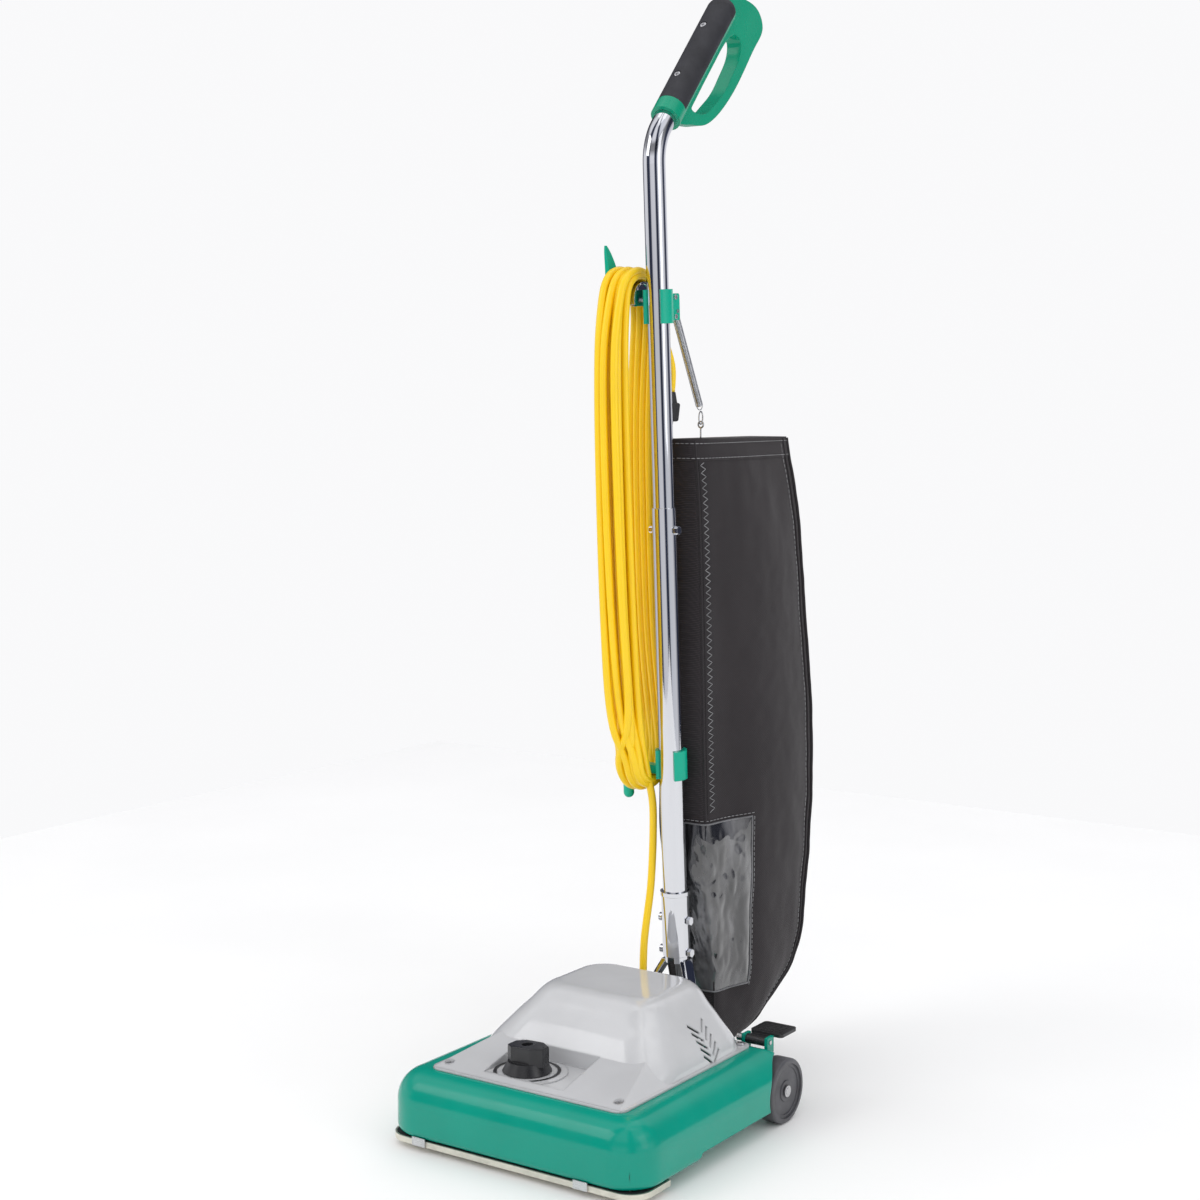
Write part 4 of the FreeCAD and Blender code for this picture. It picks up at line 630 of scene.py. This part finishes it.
def zigzag_line(side):
    """The zigzag seam on one side of the front edge, with four points to a leg."""
    corners = [(z, ZIGZAG_WAY + ZIGZAG_SWING * (1 if i % 2 else -1))
               for i, z in enumerate(steps(ZIGZAG_LOW, ZIGZAG_HIGH, 96))]
    line = []
    for (z0, w0), (z1, w1) in zip(corners, corners[1:]):
        line += [bag_point(z0 + (z1 - z0) * t / 4, side * (w0 + (w1 - w0) * t / 4) % 2, 1.2)
                 for t in range(4)]
    return line


def build_bag_stitches():
    """Dashes down the back seams and round the hem, then the two zigzags in unbroken thread."""
    seams = [[bag_point(z, way, 0.5) for z in steps(60, BAG_TOP - 4, 900)]
             for way in (0.825, 1.175)]
    hems = [[bag_point(z, way, 1.3) for way in steps(0, 2, 700)]
            for z in (BAG_TOP - 4, BAG_TOP - HEM_DEPTH + 3)]
    threads = stitches(seams + hems)
    threads += [skin_rings(tube_rings(zigzag_line(side), ZIGZAG_THREAD, 5)) for side in (1, -1)]
    follow_bag(join_pieces("bag_stitches", threads, M["thread"]))


def window_puff(z, way):
    """How far the window stands off the bag, in millimetres: flat at its rim, buckled inside."""
    p = bag_flat(z, way)
    across = ((way + 1) % 2 - 1 - WINDOW_START) / (WINDOW_END - WINDOW_START)
    up = (z - WINDOW_LOW) / (WINDOW_HIGH - WINDOW_LOW)
    rim = min(1.0, 8 * min(across, 1 - across, up, 1 - up))
    buckle = noise.noise(Vector((p.x * 0.05, p.y * 0.05, p.z * 0.018 + 20.0)))
    kink = abs(noise.noise(Vector((p.x * 0.09 + p.z * 0.02, p.y * 0.08, p.z * 0.04 + 9.0))))
    return 1.0 + max(0.0, rim) * (2.2 + 3.2 * buckle + 3.0 * kink)


def build_window():
    """Flexible panel sewn over the front fold, low on the bag, with its edging and stitches."""
    levels = steps(WINDOW_LOW, WINDOW_HIGH, 90)
    ways = [w % 2 for w in steps(WINDOW_START, WINDOW_END, 56)]
    follow_bag(bag_patch("bag_window", levels, ways, window_puff, M["vinyl"]))
    border = [bag_point(WINDOW_LOW, w % 2, EDGING_OUT)
              for w in steps(WINDOW_START, WINDOW_END, 50)]
    border += [bag_point(z, WINDOW_END, EDGING_OUT) for z in levels[1:]]
    border += [bag_point(WINDOW_HIGH, w % 2, EDGING_OUT)
               for w in steps(WINDOW_END, WINDOW_START, 50)[1:]]
    border += [bag_point(z, WINDOW_START % 2, EDGING_OUT) for z in reversed(levels[1:-1])]
    follow_bag(tube_piece("window_binding", border, EDGING_R, M["vinyl_edge"], None, 8))
    beside = [bag_point(z, WINDOW_END + SEAM_WAY, SEAM_OUT)
              for z in steps(WINDOW_LOW - 3, WINDOW_HIGH + 3, 500)]
    over = [bag_point(WINDOW_HIGH + 4, w % 2, SEAM_OUT)
            for w in steps(WINDOW_START, WINDOW_END + SEAM_WAY, 320)]
    follow_bag(join_pieces("window_stitches", stitches([beside, over]), M["thread"]))


def build_neck():
    """Cloth sleeve on the exhaust collar: smooth under the clamp, gathered behind it."""
    rings = []
    for y in steps(NECK_START, NECK_END, 36):
        free = min(1.0, max(0.0, (y - CLAMP_END) / (NECK_END - CLAMP_END)))
        ring_points = []
        for k in range(96):
            t = 2 * math.pi * k / 96
            gather = math.sin(NECK_PLEATS * t + 0.4 * math.sin(3 * t))
            r = NECK_R + free * free + gather * NECK_PLEAT_DEPTH * free
            ring_points.append(mm(r * math.cos(t), y, NECK_Z + r * math.sin(t)))
        rings.append(ring_points)
    points, faces = skin_rings(rings, True, False)
    mesh_piece("bag_neck", points, faces, M["cloth"], "base")


def build_bag():
    ways = [2 * i / BAG_COLUMNS for i in range(BAG_COLUMNS)]
    build_bag_shell(ways)
    build_bag_hem(ways)
    build_bag_tape()
    build_bag_piping()
    build_bag_stitches()
    build_window()
    build_neck()


# ---- bag spring ----------------------------------------------------------------------------
# Metres, but for the hook's place on the bag's top, which is in millimetres.
HOOK_X, HOOK_Y = 4, 206
COIL_R, COIL_WIRE, COIL_TURNS, COIL_SIDES = 0.0039, 0.00062, 84, 12
LOOP_ROOM, LOOP_LONG, LOOP_WIDE = 0.0075, 0.0058, 0.0034    # the loop at each end of the coil


def build_spring():
    """Close-wound steel spring between the upper clip and the bag, with its link and hook."""
    top, foot = leaned(HOOK_X, TUBE_Y + 27.2, 911), mm(HOOK_X, HOOK_Y, 799.6)
    length = (foot - top).length
    axis = (foot - top).normalized()
    side = axis.orthogonal().normalized()
    other = axis.cross(side)
    half_turn = [math.pi * i / 8 for i in range(9)]
    path = [top + axis * (LOOP_ROOM - LOOP_LONG * math.sin(t) - 0.001)
            - side * LOOP_WIDE * math.cos(t) for t in half_turn]
    count = COIL_TURNS * COIL_SIDES
    for i in range(count + 1):
        t = 2 * math.pi * i / COIL_SIDES
        at = top + axis * (LOOP_ROOM + (length - 2 * LOOP_ROOM) * i / count)
        path.append(at + (side * math.cos(t) + other * math.sin(t)) * COIL_R)
    path += [top + axis * (length - LOOP_ROOM + LOOP_LONG * math.sin(t))
             + side * LOOP_WIDE * math.cos(t) for t in half_turn]
    spring = tube_piece("bag_spring_coil", path, COIL_WIRE, M["spring"], "handle", 6)
    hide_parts("bag_spring")
    link_at = mm(HOOK_X, HOOK_Y, 791.8)
    link = [link_at + Vector((0, 0.0042 * math.cos(t), 0.0075 * math.sin(t)))
            for t in steps(0, 2 * math.pi, 40)]
    tube_piece("spring_link", link, 0.0008, M["spring"], "handle", 8)
    eye_at = mm(HOOK_X, HOOK_Y, 784)
    eye = [eye_at + Vector((0.0034 * math.cos(t), 0, 0.0036 * math.sin(t)))
           for t in steps(-math.pi / 2, 1.5 * math.pi, 30)]
    stem = [mm(HOOK_X, HOOK_Y, z) for z in (766, 770, 776, 780)]
    hook = tube_piece("bag_hook_wire", stem + eye, 0.0010, M["spring"], "handle", 8)
    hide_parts("bag_hook")


SWITCH_COIL_R, SWITCH_WIRE, SWITCH_TURNS, SWITCH_SIDES = 0.0026, 0.0005, 7, 14


def build_switch_spring():
    """Coil under the foot switch."""
    low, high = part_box("switch_spring")
    x, y = (low[0] + high[0]) / 2, (low[1] + high[1]) / 2
    path = []
    count = SWITCH_TURNS * SWITCH_SIDES
    for i in range(count + 1):
        t = 2 * math.pi * i / SWITCH_SIDES
        rise = low[2] + 0.0006 + (high[2] - low[2] - 0.0014) * i / count
        path.append(Vector((x + SWITCH_COIL_R * math.cos(t), y + SWITCH_COIL_R * math.sin(t),
                            rise)))
    coil = tube_piece("switch_coil", path, SWITCH_WIRE, M["spring"], "base", 6)
    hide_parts("switch_spring")
    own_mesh(coil)


# ---- camera, floor and light ---------------------------------------------------------------
# The camera's place in millimetres, how far it looks down and is turned in degrees, its lens.
CAMERA_AT, CAMERA_DOWN, CAMERA_TURN, LENS = (1240.15, -1801.36, 819.25), 5.84, 34.48, 60.385
FLOOR_HALF, FLOOR_GREY = 1.75, 0.965


def build_camera():
    data = bpy.data.cameras.new("camera")
    data.sensor_width = 36.0
    data.lens = LENS
    camera = bpy.data.objects.new("camera", data)
    bpy.context.collection.objects.link(camera)
    camera.location = mm(*CAMERA_AT)
    camera.rotation_euler = (math.radians(90 - CAMERA_DOWN), 0, math.radians(CAMERA_TURN))
    bpy.context.scene.camera = camera


def build_floor():
    half = FLOOR_HALF
    shader = Shader("pale_floor", (FLOOR_GREY,) * 3, 0.7)
    shader.vary_colour(3, 0.01)
    corners = [(-half, -half, 0), (half, -half, 0), (half, half, 0), (-half, half, 0)]
    floor = mesh_piece("floor", corners, [(0, 1, 2, 3)], shader.material, None)


def area_light(name, place, aim, size, power):
    data = bpy.data.lights.new(name, "AREA")
    data.shape = "RECTANGLE"
    data.size, data.size_y = size
    data.energy = power
    lamp = bpy.data.objects.new(name, data)
    bpy.context.collection.objects.link(lamp)
    lamp.location = place
    lamp.rotation_euler = (Vector(aim) - Vector(place)).to_track_quat("-Z", "Y").to_euler()


# Tone of the surroundings that polished metal mirrors, by direction round the machine.
STUDIO_BANDS = [
    (0.10, (0.95, 0.95, 0.97)), (0.13, (0.03, 0.035, 0.06)), (0.2, (0.05, 0.06, 0.1)),
    (0.23, (0.9, 0.9, 0.93)), (0.33, (0.95, 0.95, 0.97)), (0.36, (0.04, 0.05, 0.09)),
    (0.40, (0.02, 0.025, 0.05)), (0.43, (0.85, 0.87, 0.92)), (0.55, (0.95, 0.95, 0.97)),
    (0.60, (0.06, 0.07, 0.11)), (0.66, (0.03, 0.035, 0.06)), (0.70, (0.8, 0.8, 0.85)),
    (0.82, (0.95, 0.95, 0.96)), (0.86, (0.05, 0.055, 0.09)), (0.92, (0.05, 0.05, 0.08)),
]
# How bright those surroundings are from straight down, 0, past the horizon, 0.5, to overhead, 1.
STUDIO_HEIGHTS = [(0.05, 0.9), (0.42, 0.8), (0.47, 0.75), (0.52, 1.0), (0.60, 1.0), (0.68, 0.35),
                  (0.76, 0.3), (0.82, 1.0), (0.95, 1.0)]


def build_light():
    scene = bpy.context.scene
    scene.view_settings.view_transform = "Standard"
    world = bpy.data.worlds.new("studio")
    scene.world = world
    world.use_nodes = True
    tree = world.node_tree
    back = tree.nodes["Background"]
    where = tree.nodes.new("ShaderNodeTexCoord")
    split = tree.nodes.new("ShaderNodeSeparateXYZ")
    tree.links.new(where.outputs["Generated"], split.inputs["Vector"])
    turn = tree.nodes.new("ShaderNodeMath")
    turn.operation = "ARCTAN2"
    tree.links.new(split.outputs["Y"], turn.inputs[0])
    tree.links.new(split.outputs["X"], turn.inputs[1])
    bands = tree.nodes.new("ShaderNodeMapRange")
    bands.inputs["From Min"].default_value = -math.pi
    bands.inputs["From Max"].default_value = math.pi
    tree.links.new(turn.outputs[0], bands.inputs["Value"])
    ramp = tree.nodes.new("ShaderNodeValToRGB")
    ramp.color_ramp.elements[0].color = (0.9, 0.9, 0.92, 1)
    ramp.color_ramp.elements[1].color = (0.9, 0.9, 0.92, 1)
    for at, colour in STUDIO_BANDS:
        ramp.color_ramp.elements.new(at).color = (*colour, 1)
    tree.links.new(bands.outputs["Result"], ramp.inputs["Fac"])
    lift = tree.nodes.new("ShaderNodeValToRGB")
    for at, tone in STUDIO_HEIGHTS:
        lift.color_ramp.elements.new(at).color = (tone, tone, tone * 1.02, 1)
    level = tree.nodes.new("ShaderNodeMapRange")
    level.inputs["From Min"].default_value = -1.0
    level.inputs["From Max"].default_value = 1.0
    tree.links.new(split.outputs["Z"], level.inputs["Value"])
    tree.links.new(level.outputs["Result"], lift.inputs["Fac"])
    studio = tree.nodes.new("ShaderNodeMix")
    studio.data_type = "RGBA"
    studio.blend_type = "MULTIPLY"
    studio.inputs["Factor"].default_value = 1.0
    tree.links.new(ramp.outputs["Color"], studio.inputs["A"])
    tree.links.new(lift.outputs["Color"], studio.inputs["B"])
    rays = tree.nodes.new("ShaderNodeLightPath")
    mix = tree.nodes.new("ShaderNodeMix")
    mix.data_type = "RGBA"
    tree.links.new(rays.outputs["Is Glossy Ray"], mix.inputs["Factor"])
    mix.inputs["A"].default_value = (0.97, 0.97, 0.98, 1)
    tree.links.new(studio.outputs["Result"], mix.inputs["B"])
    tree.links.new(mix.outputs["Result"], back.inputs["Color"])
    back.inputs["Strength"].default_value = 0.98
    area_light("key", (-1.9, -2.4, 2.6), (0, 0, 0.5), (1.8, 1.8), 20)
    area_light("side", (2.8, -0.4, 1.6), (0, 0, 0.5), (1.2, 2.4), 9)
    area_light("top", (0.2, 0.4, 3.2), (0, 0, 0.4), (2.2, 2.2), 8)


build_camera()
build_cord()
build_bag()
build_spring()
build_switch_spring()
build_floor()
build_light()
finish_nodes()
finish_dial()
